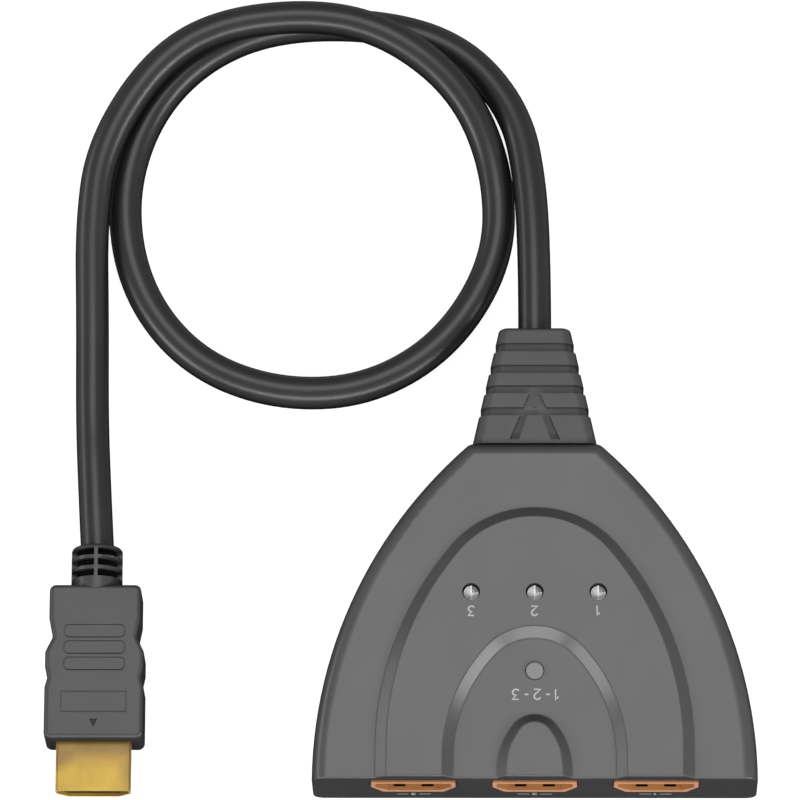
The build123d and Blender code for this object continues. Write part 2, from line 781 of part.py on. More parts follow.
def boot_loft(start, end, side_inset, inset):
    """Loft the boot's tapering form between two distances from its base, set in at its sides and height."""
    sections = []
    for place in (start, end):
        share = place / boot_length
        width = boot_base_width + (boot_end_width - boot_base_width) * share - 2 * side_inset
        height = boot_base_height + (boot_end_height - boot_base_height) * share - 2 * inset
        with BuildSketch(cross_plane(0, back_y + place, boot_axis_height)) as section:
            RectangleRounded(width, height, boot_corner)
        sections.append(section.sketch)
    loft(sections, ruled=True)


# Boot: bands and grooves round a tapering core, a forked channel on top, a neck and an inner flange
with BuildPart() as boot:
    boot_loft(0, boot_length, 0, 0)
    fillet(faces().sort_by(Axis.Y)[-1].edges(), boot_end_round)
    place = boot_end_y
    groove_ends = []
    for band_length, groove_length in zip(boot_band_lengths, boot_groove_lengths):
        place -= band_length
        with Locations((0, place - groove_length / 2, boot_axis_height)):
            Box(boot_base_width + overrun, groove_length, boot_base_height + overrun, mode=Mode.SUBTRACT)
        place -= groove_length
        groove_ends.append(place)
    apex_y = groove_ends[-2]
    arrow_foot = back_y + arrow_end_margin
    with BuildSketch(Plane.XY.offset(boot_axis_height)) as channel:
        with BuildLine() as arrow:
            Polyline((-arrow_apex_half, apex_y), (arrow_apex_half, apex_y),
                     (arrow_base_half, arrow_foot), (-arrow_base_half, arrow_foot), close=True)
        make_face(arrow.edges())
        island_y = arrow_foot + island_length
        with BuildLine() as island:
            Polyline((-island_apex_half, island_y), (island_apex_half, island_y),
                     (island_base_half, arrow_foot), (-island_base_half, arrow_foot), close=True)
        make_face(island.edges(), mode=Mode.SUBTRACT)
    extrude(channel.sketch, amount=boot_base_height, mode=Mode.SUBTRACT)
    boot_loft(0, boot_length - boot_band_lengths[0] / 2, boot_groove_side_depth, boot_groove_depth)
    gate_y = island_y + gate_mark_from_island
    end_share = (gate_y - back_y) / boot_length
    gate_half = (boot_base_height + (boot_end_height - boot_base_height) * end_share) / 2
    with Locations((0, gate_y, boot_axis_height + gate_half - boot_groove_depth - gate_mark_depth)):
        Cylinder(gate_mark_diameter / 2, overrun, align=on_top, mode=Mode.SUBTRACT)
    inner_wall_y = back_y - wall
    flange_y = inner_wall_y - boot_flange_thickness
    rounded_slab((0, flange_y, boot_axis_height), back_y + bite - flange_y,
                 boot_neck_width, boot_neck_height, boot_corner)
    rounded_slab((0, flange_y, boot_axis_height), boot_flange_thickness,
                 boot_flange_width, boot_flange_height, boot_corner)
    with BuildSketch(cross_plane(0, flange_y - overrun, boot_axis_height)) as bore:
        Circle(cord_diameter / 2)
    extrude(bore.sketch, amount=-(boot_end_y - flange_y + 2 * overrun), mode=Mode.SUBTRACT)
finish(boot, "boot")

# End of the cable jacket inside the boot, its crimp clamp and its wires
with BuildPart() as cable_end:
    with BuildSketch(cross_plane(0, jacket_end_y, boot_axis_height)) as jacket:
        Circle(cord_diameter / 2)
    extrude(jacket.sketch, amount=-(boot_end_y - jacket_end_y))
finish(cable_end, "cable_end")

with BuildPart() as cable_clamp:
    with BuildSketch(cross_plane(0, jacket_end_y + clamp_from_end, boot_axis_height)) as band:
        Circle(cord_diameter / 2 + clamp_sheet)
        Circle(cord_diameter / 2, mode=Mode.SUBTRACT)
    extrude(band.sketch, amount=-clamp_length)
finish(cable_clamp, "cable_clamp")

with BuildPart() as cable_wires:
    ring_angles = [math.pi / 2 + 2 * math.pi * wire / wire_count for wire in range(wire_count)]
    ring = sorted((wire_ring * math.cos(angle), wire_ring * math.sin(angle)) for angle in ring_angles)
    for (ring_x, ring_z), pad_x in zip(ring, row(wire_count, wire_spread)):
        start = (ring_x, jacket_end_y, boot_axis_height + ring_z)
        landing_z = board_top + wire_diameter / 2
        with BuildLine() as path:
            FilletPolyline(start, (ring_x, jacket_end_y - wire_straight, start[2]),
                           (pad_x, board_back + wire_landing, landing_z),
                           (pad_x, board_back - wire_foot, landing_z), radius=wire_bend)
        with BuildSketch(cross_plane(*start)) as section:
            Circle(wire_diameter / 2)
        sweep(section.sketch, path=path.wires()[0])
finish(cable_wires, "cable_wires")

# Cord: out of the boot, once round, over itself and down to the plug.
# Each point of the loop has its share of the way across to the plug, its place beside that, its place
# behind the boot's end, and its height.
cord_route_shares = [
    (0, -0.6, 30.6, 5.6), (0, -3.5, 45.2, 3.6), (0, -13.6, 58.0, cord_rest),
    (0.31, -3.77, 63.2, cord_rest), (0.6, -1.06, 62.9, cord_rest), (0.81, 1.43, 56.0, cord_rest),
    (0.95, 3.03, 43.6, cord_rest), (1, 3.2, 26.8, cord_rest), (0.95, 2.53, 9.3, cord_rest),
    (0.8, 0.82, -4.1, cord_rest), (0.58, -1.49, -10.5, cord_rest), (0.34, -3.62, -9.8, cord_rest),
    (0.13, -5.92, -0.5, cord_rest), (0, -7.3, 16.2, cord_rest), (0, -7.5, 33.6, 3.4),
    (0.08, -6.69, 48.4, 7.1), (0.27, -4.22, 58.7, 9.95), (0.47, -2.14, 62.9, 9.95),
    (0.74, 0.34, 60.9, 9.95), (1, 9.3, 52.8, 9.7), (1, -0.2, 37.1, 8.3), (1, -2.1, 22.4, 6.2),
    (1, -1.7, 3.7, 3.7), (1, -1.5, -14.8, cord_rest),
]
cord_points = [(0, boot_end_y, boot_axis_height), (0, boot_end_y + cord_exit_length, boot_axis_height)]
cord_points += [(share * plug_x + beside, boot_end_y + behind, height)
                for share, beside, behind, height in cord_route_shares]
cord_points += [(plug_x - cord_approach_shift, neck_end_y + cord_approach_length, plug_axis_height),
                (plug_x, neck_end_y, plug_axis_height)]
cord_runs = [Vector(*far) - Vector(*near) for near, far in zip(cord_points, cord_points[1:])]
cord_radii = []
for before, after in zip(cord_runs, cord_runs[1:]):
    half_turn = math.radians(before.get_angle(after)) / 2
    cord_radii.append(cord_turn_share * min(before.length, after.length) / math.tan(half_turn))
with BuildPart() as cord:
    with BuildLine() as route:
        FilletPolyline(*cord_points, radius=cord_radii)
    cord_path = route.wires()[0]
    with BuildSketch(cross_plane(*cord_points[0])) as section:
        Circle(cord_diameter / 2)
    sweep(section.sketch, path=cord_path)
finish(cord, "cord")

cord_area = math.pi * cord_diameter**2 / 4
steps = 420
samples = [cord_path.position_at(step / steps) for step in range(steps + 1)]
apart = int(steps * 4 * cord_diameter / cord_path.length)
self_gap = min((samples[far] - samples[near]).length
               for near in range(steps + 1) for far in range(near + apart, steps + 1)) - cord_diameter
print("cord length", round(cord_path.length, 1), "volume over section times length",
      round(cord.part.volume / (cord_area * cord_path.length), 4))
print("cord radii", [round(radius, 1) for radius in cord_radii])
print("least gap between the cord's passes", round(self_gap, 2))

# Plug overmould: waisted body, ringed neck, grip bars, engraved frame and pointer
with BuildPart() as plug_overmould:
    halves = (plug_base_half, plug_notch_half, plug_bulge_half, plug_bulge_half, plug_waist_half,
              plug_shoulder_half)
    side = [(plug_base_half, 0)]
    side += [(half, share * plug_length) for half, share in zip(halves, plug_side_shares)]
    side += [(plug_shoulder_half, plug_length)]
    outline_points = [(plug_x + half, plug_face_y + along) for half, along in side]
    outline_points += [(plug_x - half, plug_face_y + along) for half, along in reversed(side)]
    with BuildSketch():
        with BuildLine() as outline:
            Polyline(*outline_points, close=True)
        make_face(outline.edges())
    extrude(amount=plug_height)
    fillet(edges().filter_by(Axis.Z), plug_side_fillet)
    roof = faces().sort_by(Axis.Z)[-1]
    floor = faces().sort_by(Axis.Z)[0]
    fillet(roof.edges() + floor.edges(), plug_edge_fillet)
    with BuildSketch(cross_plane(plug_x, plug_back_y - plug_neck_diameter / 2, plug_axis_height)) as neck:
        Circle(plug_neck_diameter / 2)
    extrude(neck.sketch, amount=-(plug_neck_length + plug_neck_diameter / 2))
    fillet(faces().sort_by(Axis.Y)[-1].edges(), plug_neck_round)
    for slot in range(neck_slot_count):
        slot_y = plug_back_y + neck_first_slot + slot * neck_slot_pitch
        with BuildSketch(cross_plane(plug_x, slot_y, plug_axis_height)) as ring:
            Circle(plug_neck_diameter / 2 + overrun)
            Circle(plug_neck_diameter / 2 - neck_slot_depth, mode=Mode.SUBTRACT)
            Rectangle(neck_spine_width, plug_neck_diameter + 2 * overrun, mode=Mode.SUBTRACT)
            Rectangle(plug_neck_diameter + 2 * overrun, neck_spine_width, mode=Mode.SUBTRACT)
        extrude(ring.sketch, amount=-neck_slot_width, mode=Mode.SUBTRACT)
    bar_places = [(plug_x, plug_face_y + grip_bar_first + bar * grip_bar_pitch)
                  for bar in range(grip_bar_count)]
    with BuildSketch(Plane.XY.offset(plug_height - bite)) as bars:
        with Locations(*bar_places):
            RectangleRounded(grip_bar_length, grip_bar_width, grip_bar_corner)
    extrude(bars.sketch, amount=grip_bar_rise + bite)
    with BuildSketch(Plane.XY.offset(plug_height - frame_depth)) as marks:
        with Locations((plug_x, plug_face_y + frame_from_face)):
            Rectangle(frame_length, frame_width)
            Rectangle(frame_length - 2 * frame_line, frame_width - 2 * frame_line, mode=Mode.SUBTRACT)
        with Locations(*bar_places):
            RectangleRounded(grip_bar_length + 2 * grip_bar_line, grip_bar_width + 2 * grip_bar_line,
                             grip_bar_corner + grip_bar_line)
            RectangleRounded(grip_bar_length, grip_bar_width, grip_bar_corner, mode=Mode.SUBTRACT)
    extrude(marks.sketch, amount=frame_depth + overrun, mode=Mode.SUBTRACT)
    with BuildSketch(Plane.XY.offset(plug_height - pointer_depth)) as point:
        pointer_tip = plug_face_y + pointer_from_face - pointer_half
        pointer_foot = plug_face_y + pointer_from_face + pointer_half
        with BuildLine() as pointer:
            Polyline((plug_x - pointer_half, pointer_foot), (plug_x + pointer_half, pointer_foot),
                     (plug_x, pointer_tip), close=True)
        make_face(pointer.edges())
    extrude(point.sketch, amount=pointer_depth + overrun, mode=Mode.SUBTRACT)
    mouth_slab((plug_x, plug_face_y - overrun, plug_axis_height), plug_shell_in + overrun,
               plug_mouth_width, plug_mouth_height, 0, Mode.SUBTRACT)
finish(plug_overmould, "plug_overmould")

# Plug shell, insulator with its slot, and contacts
plug_tip = (plug_x, plug_face_y - plug_shell_out, plug_axis_height)
with BuildPart() as plug_shell:
    mouth_slab(plug_tip, plug_shell_out + plug_shell_in, plug_mouth_width, plug_mouth_height, 0)
    mouth_slab(plug_tip, plug_shell_out + plug_shell_in, plug_mouth_width, plug_mouth_height,
               -plug_sheet, Mode.SUBTRACT)
finish(plug_shell, "plug_shell")

slot_front_y = plug_tip[1] + plug_insulator_setback
with BuildPart() as plug_insulator:
    mouth_slab((plug_x, slot_front_y, plug_axis_height),
               plug_shell_out + plug_shell_in - plug_insulator_setback,
               plug_mouth_width, plug_mouth_height, -plug_sheet)
    with Locations((plug_x, slot_front_y + plug_slot_depth / 2, plug_axis_height)):
        Box(plug_slot_width, plug_slot_depth, plug_slot_height, mode=Mode.SUBTRACT)
finish(plug_insulator, "plug_insulator")

with BuildPart() as plug_contacts:
    contact_y = slot_front_y + plug_slot_depth - plug_contact_length / 2
    for count, side in ((upper_contacts, 1), (lower_contacts, -1)):
        contact_z = plug_axis_height + side * (plug_slot_height - contact_sheet) / 2
        places = [(plug_x + contact_x, contact_y, contact_z) for contact_x in row(count, contact_pitch)]
        with Locations(*places):
            Box(contact_width, plug_contact_length, contact_sheet)
finish(plug_contacts, "plug_contacts")
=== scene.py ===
"""Looks of a three-input video switch box with a captive lead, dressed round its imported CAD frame.

Lengths are in metres, in the frame's own axes: +Z up, the sockets face -Y, the lead leaves at +Y.
"""

from __future__ import annotations

import logging
from dataclasses import dataclass, field
from enum import Enum

import bpy
import numpy as np
from mathutils import Matrix, Vector

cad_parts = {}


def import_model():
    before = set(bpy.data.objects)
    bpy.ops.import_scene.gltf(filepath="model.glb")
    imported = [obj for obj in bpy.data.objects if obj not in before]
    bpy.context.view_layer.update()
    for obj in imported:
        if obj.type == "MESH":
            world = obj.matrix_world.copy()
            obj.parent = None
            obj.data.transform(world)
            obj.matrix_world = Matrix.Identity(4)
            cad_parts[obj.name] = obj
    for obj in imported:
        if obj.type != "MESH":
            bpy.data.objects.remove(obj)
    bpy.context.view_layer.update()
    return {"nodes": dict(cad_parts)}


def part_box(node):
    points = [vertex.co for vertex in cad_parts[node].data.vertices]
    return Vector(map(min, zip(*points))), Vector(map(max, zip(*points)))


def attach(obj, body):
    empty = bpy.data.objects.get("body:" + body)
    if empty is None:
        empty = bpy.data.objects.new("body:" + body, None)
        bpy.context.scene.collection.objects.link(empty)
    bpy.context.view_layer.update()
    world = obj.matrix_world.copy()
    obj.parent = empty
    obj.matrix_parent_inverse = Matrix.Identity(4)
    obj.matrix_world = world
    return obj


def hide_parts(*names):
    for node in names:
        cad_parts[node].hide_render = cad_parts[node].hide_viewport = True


LOG = logging.getLogger("switch_box")
MM = 0.001
CHANNELS = (1, 2, 3)
FLOAT, COLOUR, VECTOR = "NodeSocketFloat", "NodeSocketColor", "NodeSocketVector"
Colour = tuple[float, float, float]
Point = tuple[float, float, float]
Pieces = dict[str, bpy.types.Object]
GroupEnds = tuple[bpy.types.ShaderNodeTree, bpy.types.ShaderNode, bpy.types.ShaderNode]


def shade(red: float, green: float, blue: float) -> Colour:
    """Turn a colour as it shows on a screen into linear light: a straight foot, then a power curve.

    Args:
        red, green, blue: the colour's parts, 0 to 255.

    Returns:
        The three parts in linear light, 0 to 1.
    """
    foot, slope, shift, power = 0.04045, 12.92, 0.055, 2.4
    parts = (part / 255 for part in (red, green, blue))
    return tuple(part / slope if part <= foot else ((part + shift) / (1 + shift)) ** power for part in parts)


def greatest(tree: bpy.types.NodeTree, values: list[bpy.types.NodeSocket]) -> bpy.types.NodeSocket:
    """Take the greatest of several values, with a chain of nodes that each keep the greater of two.

    Args:
        tree: the node tree that holds them.
        values: the sockets that give the values.

    Returns:
        The socket that gives the greatest.
    """
    best, *others = values
    for other in others:
        greater = tree.nodes.new("ShaderNodeMath")
        greater.operation = "MAXIMUM"
        tree.links.new(best, greater.inputs[0])
        tree.links.new(other, greater.inputs[1])
        best = greater.outputs[0]
    return best


class SurfaceGroups:
    """Shader node groups that several finishes share, each built once.

    Attributes:
        grain_detail, mottle_detail, rub_detail: how many finer layers each noise has.
        coarse_share: coarse grains for each fine one.
        fine_weight: how much the fine noise counts in the grain's height.
        mottle_range: the part of the noise over which the tone goes from dark to light.
        rub_stretch: scale of the rubbing's noise along each axis.
        rub_turn: its turn about each axis, in radians.
    """

    grain_detail: float = 2.0
    mottle_detail: float = 4.0
    rub_detail: float = 3.0
    coarse_share: float = 0.45
    fine_weight: float = 0.6
    mottle_range: tuple[float, float] = (0.3, 0.7)
    rub_stretch: Point = (1.0, 0.22, 1.0)
    rub_turn: Point = (0.0, 0.0, 0.5)

    def __init__(self) -> None:
        """Build the groups."""
        self.grain = self._grain()
        self.mottle = self._mottle()
        self.rubbed = self._rubbed()
        self.upward = self._upward()

    @staticmethod
    def _open(name: str, inputs: dict[str, str], outputs: dict[str, str]) -> GroupEnds:
        """Open a group with named inputs and outputs.

        Args:
            name: the group's name.
            inputs: socket name to socket type.
            outputs: socket name to socket type.

        Returns:
            The group, its input node and its output node.
        """
        group = bpy.data.node_groups.new(name, "ShaderNodeTree")
        for way, sockets in (("INPUT", inputs), ("OUTPUT", outputs)):
            for socket, kind in sockets.items():
                group.interface.new_socket(socket, in_out=way, socket_type=kind)
        return group, group.nodes.new("NodeGroupInput"), group.nodes.new("NodeGroupOutput")

    def _grain(self) -> bpy.types.ShaderNodeTree:
        """Fine erosion grain: two sizes of noise, added up to one height.

        Returns:
            A group that gives a height at each place.
        """
        group, start, end = self._open("moulded_grain", {"Place": VECTOR, "Scale": FLOAT}, {"Height": FLOAT})
        nodes, links = group.nodes, group.links
        fine, coarse = nodes.new("ShaderNodeTexNoise"), nodes.new("ShaderNodeTexVoronoi")
        fine.inputs["Detail"].default_value = self.grain_detail
        fewer = nodes.new("ShaderNodeMath")
        fewer.operation = "MULTIPLY"
        fewer.inputs[1].default_value = self.coarse_share
        blend = nodes.new("ShaderNodeMath")
        blend.operation = "MULTIPLY_ADD"
        blend.inputs[1].default_value = self.fine_weight
        links.new(start.outputs["Place"], fine.inputs["Vector"])
        links.new(start.outputs["Place"], coarse.inputs["Vector"])
        links.new(start.outputs["Scale"], fine.inputs["Scale"])
        links.new(start.outputs["Scale"], fewer.inputs[0])
        links.new(fewer.outputs[0], coarse.inputs["Scale"])
        links.new(fine.outputs["Fac"], blend.inputs[0])
        links.new(coarse.outputs["Distance"], blend.inputs[2])
        links.new(blend.outputs[0], end.inputs["Height"])
        return group

    def _mottle(self) -> bpy.types.ShaderNodeTree:
        """Slow change of tone over a surface.

        Returns:
            A group that gives a colour between a darker and a lighter one, and the share of the lighter.
        """
        group, start, end = self._open(
            "tone_mottle", {"Place": VECTOR, "Scale": FLOAT, "Dark": COLOUR, "Light": COLOUR},
            {"Colour": COLOUR, "Mask": FLOAT})
        nodes, links = group.nodes, group.links
        noise = nodes.new("ShaderNodeTexNoise")
        noise.inputs["Detail"].default_value = self.mottle_detail
        ramp = nodes.new("ShaderNodeMapRange")
        ramp.interpolation_type = "SMOOTHSTEP"
        ramp.inputs["From Min"].default_value, ramp.inputs["From Max"].default_value = self.mottle_range
        mix = nodes.new("ShaderNodeMix")
        mix.data_type = "RGBA"
        links.new(start.outputs["Place"], noise.inputs["Vector"])
        links.new(start.outputs["Scale"], noise.inputs["Scale"])
        links.new(noise.outputs["Fac"], ramp.inputs["Value"])
        links.new(ramp.outputs["Result"], mix.inputs["Factor"])
        links.new(start.outputs["Dark"], mix.inputs["A"])
        links.new(start.outputs["Light"], mix.inputs["B"])
        links.new(mix.outputs["Result"], end.inputs["Colour"])
        links.new(ramp.outputs["Result"], end.inputs["Mask"])
        return group

    def _rubbed(self) -> bpy.types.ShaderNodeTree:
        """Faint rubbing in one direction, as handling leaves: stretched noise between two values.

        Returns:
            A group that gives a value at each place.
        """
        group, start, end = self._open(
            "rubbed_value", {"Place": VECTOR, "Scale": FLOAT, "Low": FLOAT, "High": FLOAT}, {"Value": FLOAT})
        nodes, links = group.nodes, group.links
        stretch = nodes.new("ShaderNodeMapping")
        stretch.inputs["Scale"].default_value = self.rub_stretch
        stretch.inputs["Rotation"].default_value = self.rub_turn
        noise = nodes.new("ShaderNodeTexNoise")
        noise.inputs["Detail"].default_value = self.rub_detail
        ramp = nodes.new("ShaderNodeMapRange")
        links.new(start.outputs["Place"], stretch.inputs["Vector"])
        links.new(stretch.outputs["Vector"], noise.inputs["Vector"])
        links.new(start.outputs["Scale"], noise.inputs["Scale"])
        links.new(noise.outputs["Fac"], ramp.inputs["Value"])
        links.new(start.outputs["Low"], ramp.inputs["To Min"])
        links.new(start.outputs["High"], ramp.inputs["To Max"])
        links.new(ramp.outputs["Result"], end.inputs["Value"])
        return group

    def _upward(self) -> bpy.types.ShaderNodeTree:
        """Where a surface faces up: a smooth step over the height of its normal.

        Returns:
            A group that gives a value between Low, on walls and undersides, and High, on tops.
        """
        group, start, end = self._open(
            "upward_share", {"Facing": VECTOR, "Wall": FLOAT, "Top": FLOAT, "Low": FLOAT, "High": FLOAT},
            {"Value": FLOAT})
        nodes, links = group.nodes, group.links
        parts = nodes.new("ShaderNodeSeparateXYZ")
        step = nodes.new("ShaderNodeMapRange")
        step.interpolation_type = "SMOOTHSTEP"
        links.new(start.outputs["Facing"], parts.inputs["Vector"])
        links.new(parts.outputs["Z"], step.inputs["Value"])
        pairs = {"Wall": "From Min", "Top": "From Max", "Low": "To Min", "High": "To Max"}
        for name, socket in pairs.items():
            links.new(start.outputs[name], step.inputs[socket])
        links.new(step.outputs["Result"], end.inputs["Value"])
        return group


@dataclass(frozen=True)
class Finish:
    """A solid finish: tone mottling, rubbed roughness and a fine grain in the bump.

    Attributes:
        name: the material's name.
        dark: the darker tone, in linear light.
        light: the lighter tone.
        smooth: the least roughness.
        rough: the greatest roughness.
        metallic: 0 for a plastic, 1 for bare metal, between them for a dull plating.
        grain_per_m: grains along a metre.
        grain_depth: the grain's depth.
        tone_per_m: patches of tone along a metre.
        rubs_per_patch: rubbed places along each patch.
        specular: the specular level.
        satin: weight of the satin skin that a smooth mould leaves.
        satin_change: how far that weight goes up and down over the skin, as a share of it.
        skins_per_patch: such changes along each patch of tone.
        satin_roughness: roughness of that skin.
        satin_ior: refractive index of that skin.
        wall: height of the normal at and under which the skin is gone, as on the textured walls of a mould.
        top: height of the normal from which the skin is whole.
        wall_tone: painted shade on the walls and undersides: their tone as a share of the tone on top.
    """

    name: str
    dark: Colour
    light: Colour
    smooth: float = 0.35
    rough: float = 0.5
    metallic: float = 0.0
    grain_per_m: float = 2600.0
    grain_depth: float = 0.00001
    tone_per_m: float = 60.0
    rubs_per_patch: float = 3.0
    specular: float = 0.5
    satin: float = 0.0
    satin_change: float = 0.06
    skins_per_patch: float = 2.0
    satin_roughness: float = 0.32
    satin_ior: float = 2.0
    wall: float = 0.3
    top: float = 0.88
    wall_tone: float = 0.55

    def material(self, groups: SurfaceGroups) -> bpy.types.Material:
        """Build the finish as a node material.

        Args:
            groups: the shared node groups.

        Returns:
            The material.
        """
        material = bpy.data.materials.new(self.name)
        material.use_nodes = True
        material.diffuse_color = (*self.light, 1.0)
        tree = material.node_tree
        nodes, links = tree.nodes, tree.links
        shader = nodes["Principled BSDF"]
        shader.inputs["Metallic"].default_value = self.metallic
        shader.inputs["Specular IOR Level"].default_value = self.specular
        shader.inputs["Coat Roughness"].default_value = self.satin_roughness
        shader.inputs["Coat IOR"].default_value = self.satin_ior
        where = nodes.new("ShaderNodeTexCoord")
        place = where.outputs["Object"]
        tone = self._place_group(tree, groups.mottle, place, Scale=self.tone_per_m, Dark=(*self.dark, 1.0),
                                 Light=(*self.light, 1.0))
        links.new(tone.outputs["Colour"], shader.inputs["Base Color"])
        rub = self._place_group(tree, groups.rubbed, place, Scale=self.tone_per_m * self.rubs_per_patch,
                                Low=self.smooth, High=self.rough)
        links.new(rub.outputs["Value"], shader.inputs["Roughness"])
        if self.satin:
            self._add_satin(tree, groups, place, where.outputs["Normal"])
        grain = self._place_group(tree, groups.grain, place, Scale=self.grain_per_m)
        bump = nodes.new("ShaderNodeBump")
        bump.inputs["Distance"].default_value = self.grain_depth
        bump.inputs["Strength"].default_value = 1.0
        links.new(grain.outputs["Height"], bump.inputs["Height"])
        links.new(bump.outputs["Normal"], shader.inputs["Normal"])
        return material

    def _add_satin(self, tree: bpy.types.NodeTree, groups: SurfaceGroups, place: bpy.types.NodeSocket,
                   facing: bpy.types.NodeSocket) -> None:
        """Lay the satin skin on the faces that look up, and paint shade on the walls by darkening their
        tone.

        Args:
            tree: the material's node tree, its tone already linked.
            groups: the shared node groups.
            place: the socket that gives the place on the object.
            facing: the socket that gives the surface's normal.
        """
        shader = tree.nodes["Principled BSDF"]
        tone = shader.inputs["Base Color"].links[0].from_socket
        # painted shade: walls and undersides get a darker tone than tops
        share = self._place_group(tree, groups.upward, facing, Wall=self.wall, Top=self.top,
                                  Low=self.wall_tone, High=1.0)
        wall_shade_node = tree.nodes.new("ShaderNodeVectorMath")
        wall_shade_node.operation = "SCALE"
        tree.links.new(tone, wall_shade_node.inputs[0])
        tree.links.new(share.outputs["Value"], wall_shade_node.inputs["Scale"])
        tree.links.new(wall_shade_node.outputs["Vector"], shader.inputs["Base Color"])
        skin = self._place_group(tree, groups.rubbed, place, Scale=self.tone_per_m * self.skins_per_patch,
                                 Low=self.satin * (1 - self.satin_change),
                                 High=self.satin * (1 + self.satin_change))
        upward = self._place_group(tree, groups.upward, facing, Wall=self.wall, Top=self.top, Low=0.0)
        tree.links.new(skin.outputs["Value"], upward.inputs["High"])
        tree.links.new(upward.outputs["Value"], shader.inputs["Coat Weight"])

    @staticmethod
    def _place_group(tree: bpy.types.NodeTree, group: bpy.types.ShaderNodeTree, source: bpy.types.NodeSocket,
                     **values: float | tuple[float, ...]) -> bpy.types.ShaderNode:
        """Put a shared group into a material.

        Args:
            tree: the material's node tree.
            group: the shared group.
            source: the socket that feeds the group's first input.
            values: input name to value, for the others.

        Returns:
            The group's node.
        """
        node = tree.nodes.new("ShaderNodeGroup")
        node.node_tree = group
        tree.links.new(source, node.inputs[0])
        for name, value in values.items():
            node.inputs[name].default_value = value
        return node


@dataclass(frozen=True)
class PlatedFinish(Finish):
    """A gold plating with painted shade: a browner tone along the plug's body, at its left corner and right
    edge.

    Attributes:
        worn: the painted shade's share of each colour.
        root_y: where the tone along the body starts to fade.
        root_fade: how far it takes to be gone.
        corner_y: where the tone at the left corner starts to fade.
        corner_fade: how far it takes to be gone.
        left_x: the left side, where the corner's tone reaches furthest.
        slant: how much sooner it ends per metre across.
        edge_x: where the painted shade along the right edge starts.
        edge_fade: how far it takes to be whole.
    """

    worn: Colour = (0.50, 0.44, 0.42)
    root_y: float = -35.8 * MM
    root_fade: float = 3.2 * MM
    corner_y: float = -37.9 * MM
    corner_fade: float = 3.7 * MM
    left_x: float = -87.7 * MM
    slant: float = 0.69
    edge_x: float = -77.4 * MM
    edge_fade: float = 4.8 * MM

    def material(self, groups: SurfaceGroups) -> bpy.types.Material:
        """Build the plating: the plain finish, its tone times a browner one, painted shade, in those three
        places.

        Args:
            groups: the shared node groups.

        Returns:
            The material.
        """
        material = super().material(groups)
        tree = material.node_tree
        nodes, links = tree.nodes, tree.links
        base = nodes["Principled BSDF"].inputs["Base Color"]
        tone = base.links[0].from_socket
        parts = nodes.new("ShaderNodeSeparateXYZ")
        links.new(nodes.new("ShaderNodeTexCoord").outputs["Object"], parts.inputs["Vector"])
        across = nodes.new("ShaderNodeMath")
        across.operation = "MULTIPLY_ADD"
        across.inputs[1].default_value = -self.slant
        links.new(parts.outputs["X"], across.inputs[0])
        links.new(parts.outputs["Y"], across.inputs[2])
        end = self.corner_y - self.slant * self.left_x
        share = greatest(tree, [
            self._fade(tree, across.outputs[0], end - self.corner_fade, end),
            self._fade(tree, parts.outputs["Y"], self.root_y - self.root_fade, self.root_y),
            self._fade(tree, parts.outputs["X"], self.edge_x, self.edge_x + self.edge_fade),
        ])
        # painted shade: the plating darkened beside the plug's body, at its left corner and at its right
        # edge
        brown = nodes.new("ShaderNodeMix")
        brown.data_type = "RGBA"
        brown.blend_type = "MULTIPLY"
        brown.inputs["B"].default_value = (*self.worn, 1.0)
        links.new(share, brown.inputs["Factor"])
        links.new(tone, brown.inputs["A"])
        links.new(brown.outputs["Result"], base)
        return material

    @staticmethod
    def _fade(tree: bpy.types.NodeTree, value: bpy.types.NodeSocket, start: float,
              end: float) -> bpy.types.NodeSocket:
        """Rise smoothly from 0 to 1 while a value goes from start to end.

        Args:
            tree: the material's node tree.
            value: the socket that gives the value.
            start: where the rise starts.
            end: where it ends.

        Returns:
            The socket that gives the share.
        """
        rise = tree.nodes.new("ShaderNodeMapRange")
        rise.interpolation_type = "SMOOTHSTEP"
        rise.inputs["From Min"].default_value = start
        rise.inputs["From Max"].default_value = end
        tree.links.new(value, rise.inputs["Value"])
        return rise.outputs["Result"]


@dataclass(frozen=True)
class ClearFinish:
    """A clear cast resin, thin enough to let what lies under it show unbent.

    Attributes:
        name: the material's name.
        colour: the tint, in linear light.
        cover: how much of what lies under it the resin veils.
        thickest: the most that it veils, as a multiple of that.
        roughness: the surface's least roughness.
        rubbed: its greatest roughness, as a multiple of that.
    """

    name: str
    colour: Colour
    cover: float = 0.22
    thickest: float = 1.3
    roughness: float = 0.12
    rubbed: float = 1.5

    def material(self, groups: SurfaceGroups) -> bpy.types.Material:
        """Build the finish as a node material, with a veil that changes a little over the lens.

        Args:
            groups: the shared node groups.

        Returns:
            The material.
        """
        finish = Finish(self.name, self.colour, self.colour, self.roughness, self.roughness * self.rubbed,
                        grain_per_m=900.0, grain_depth=0.000002)
        material = finish.material(groups)
        nodes, links = material.node_tree.nodes, material.node_tree.links
        tone = next(node for node in nodes if node.type == "GROUP" and node.node_tree == groups.mottle)
        veil = nodes.new("ShaderNodeMapRange")
        veil.inputs["To Min"].default_value = self.cover
        veil.inputs["To Max"].default_value = self.cover * self.thickest
        links.new(tone.outputs["Mask"], veil.inputs["Value"])
        links.new(veil.outputs["Result"], nodes["Principled BSDF"].inputs["Alpha"])
        return material


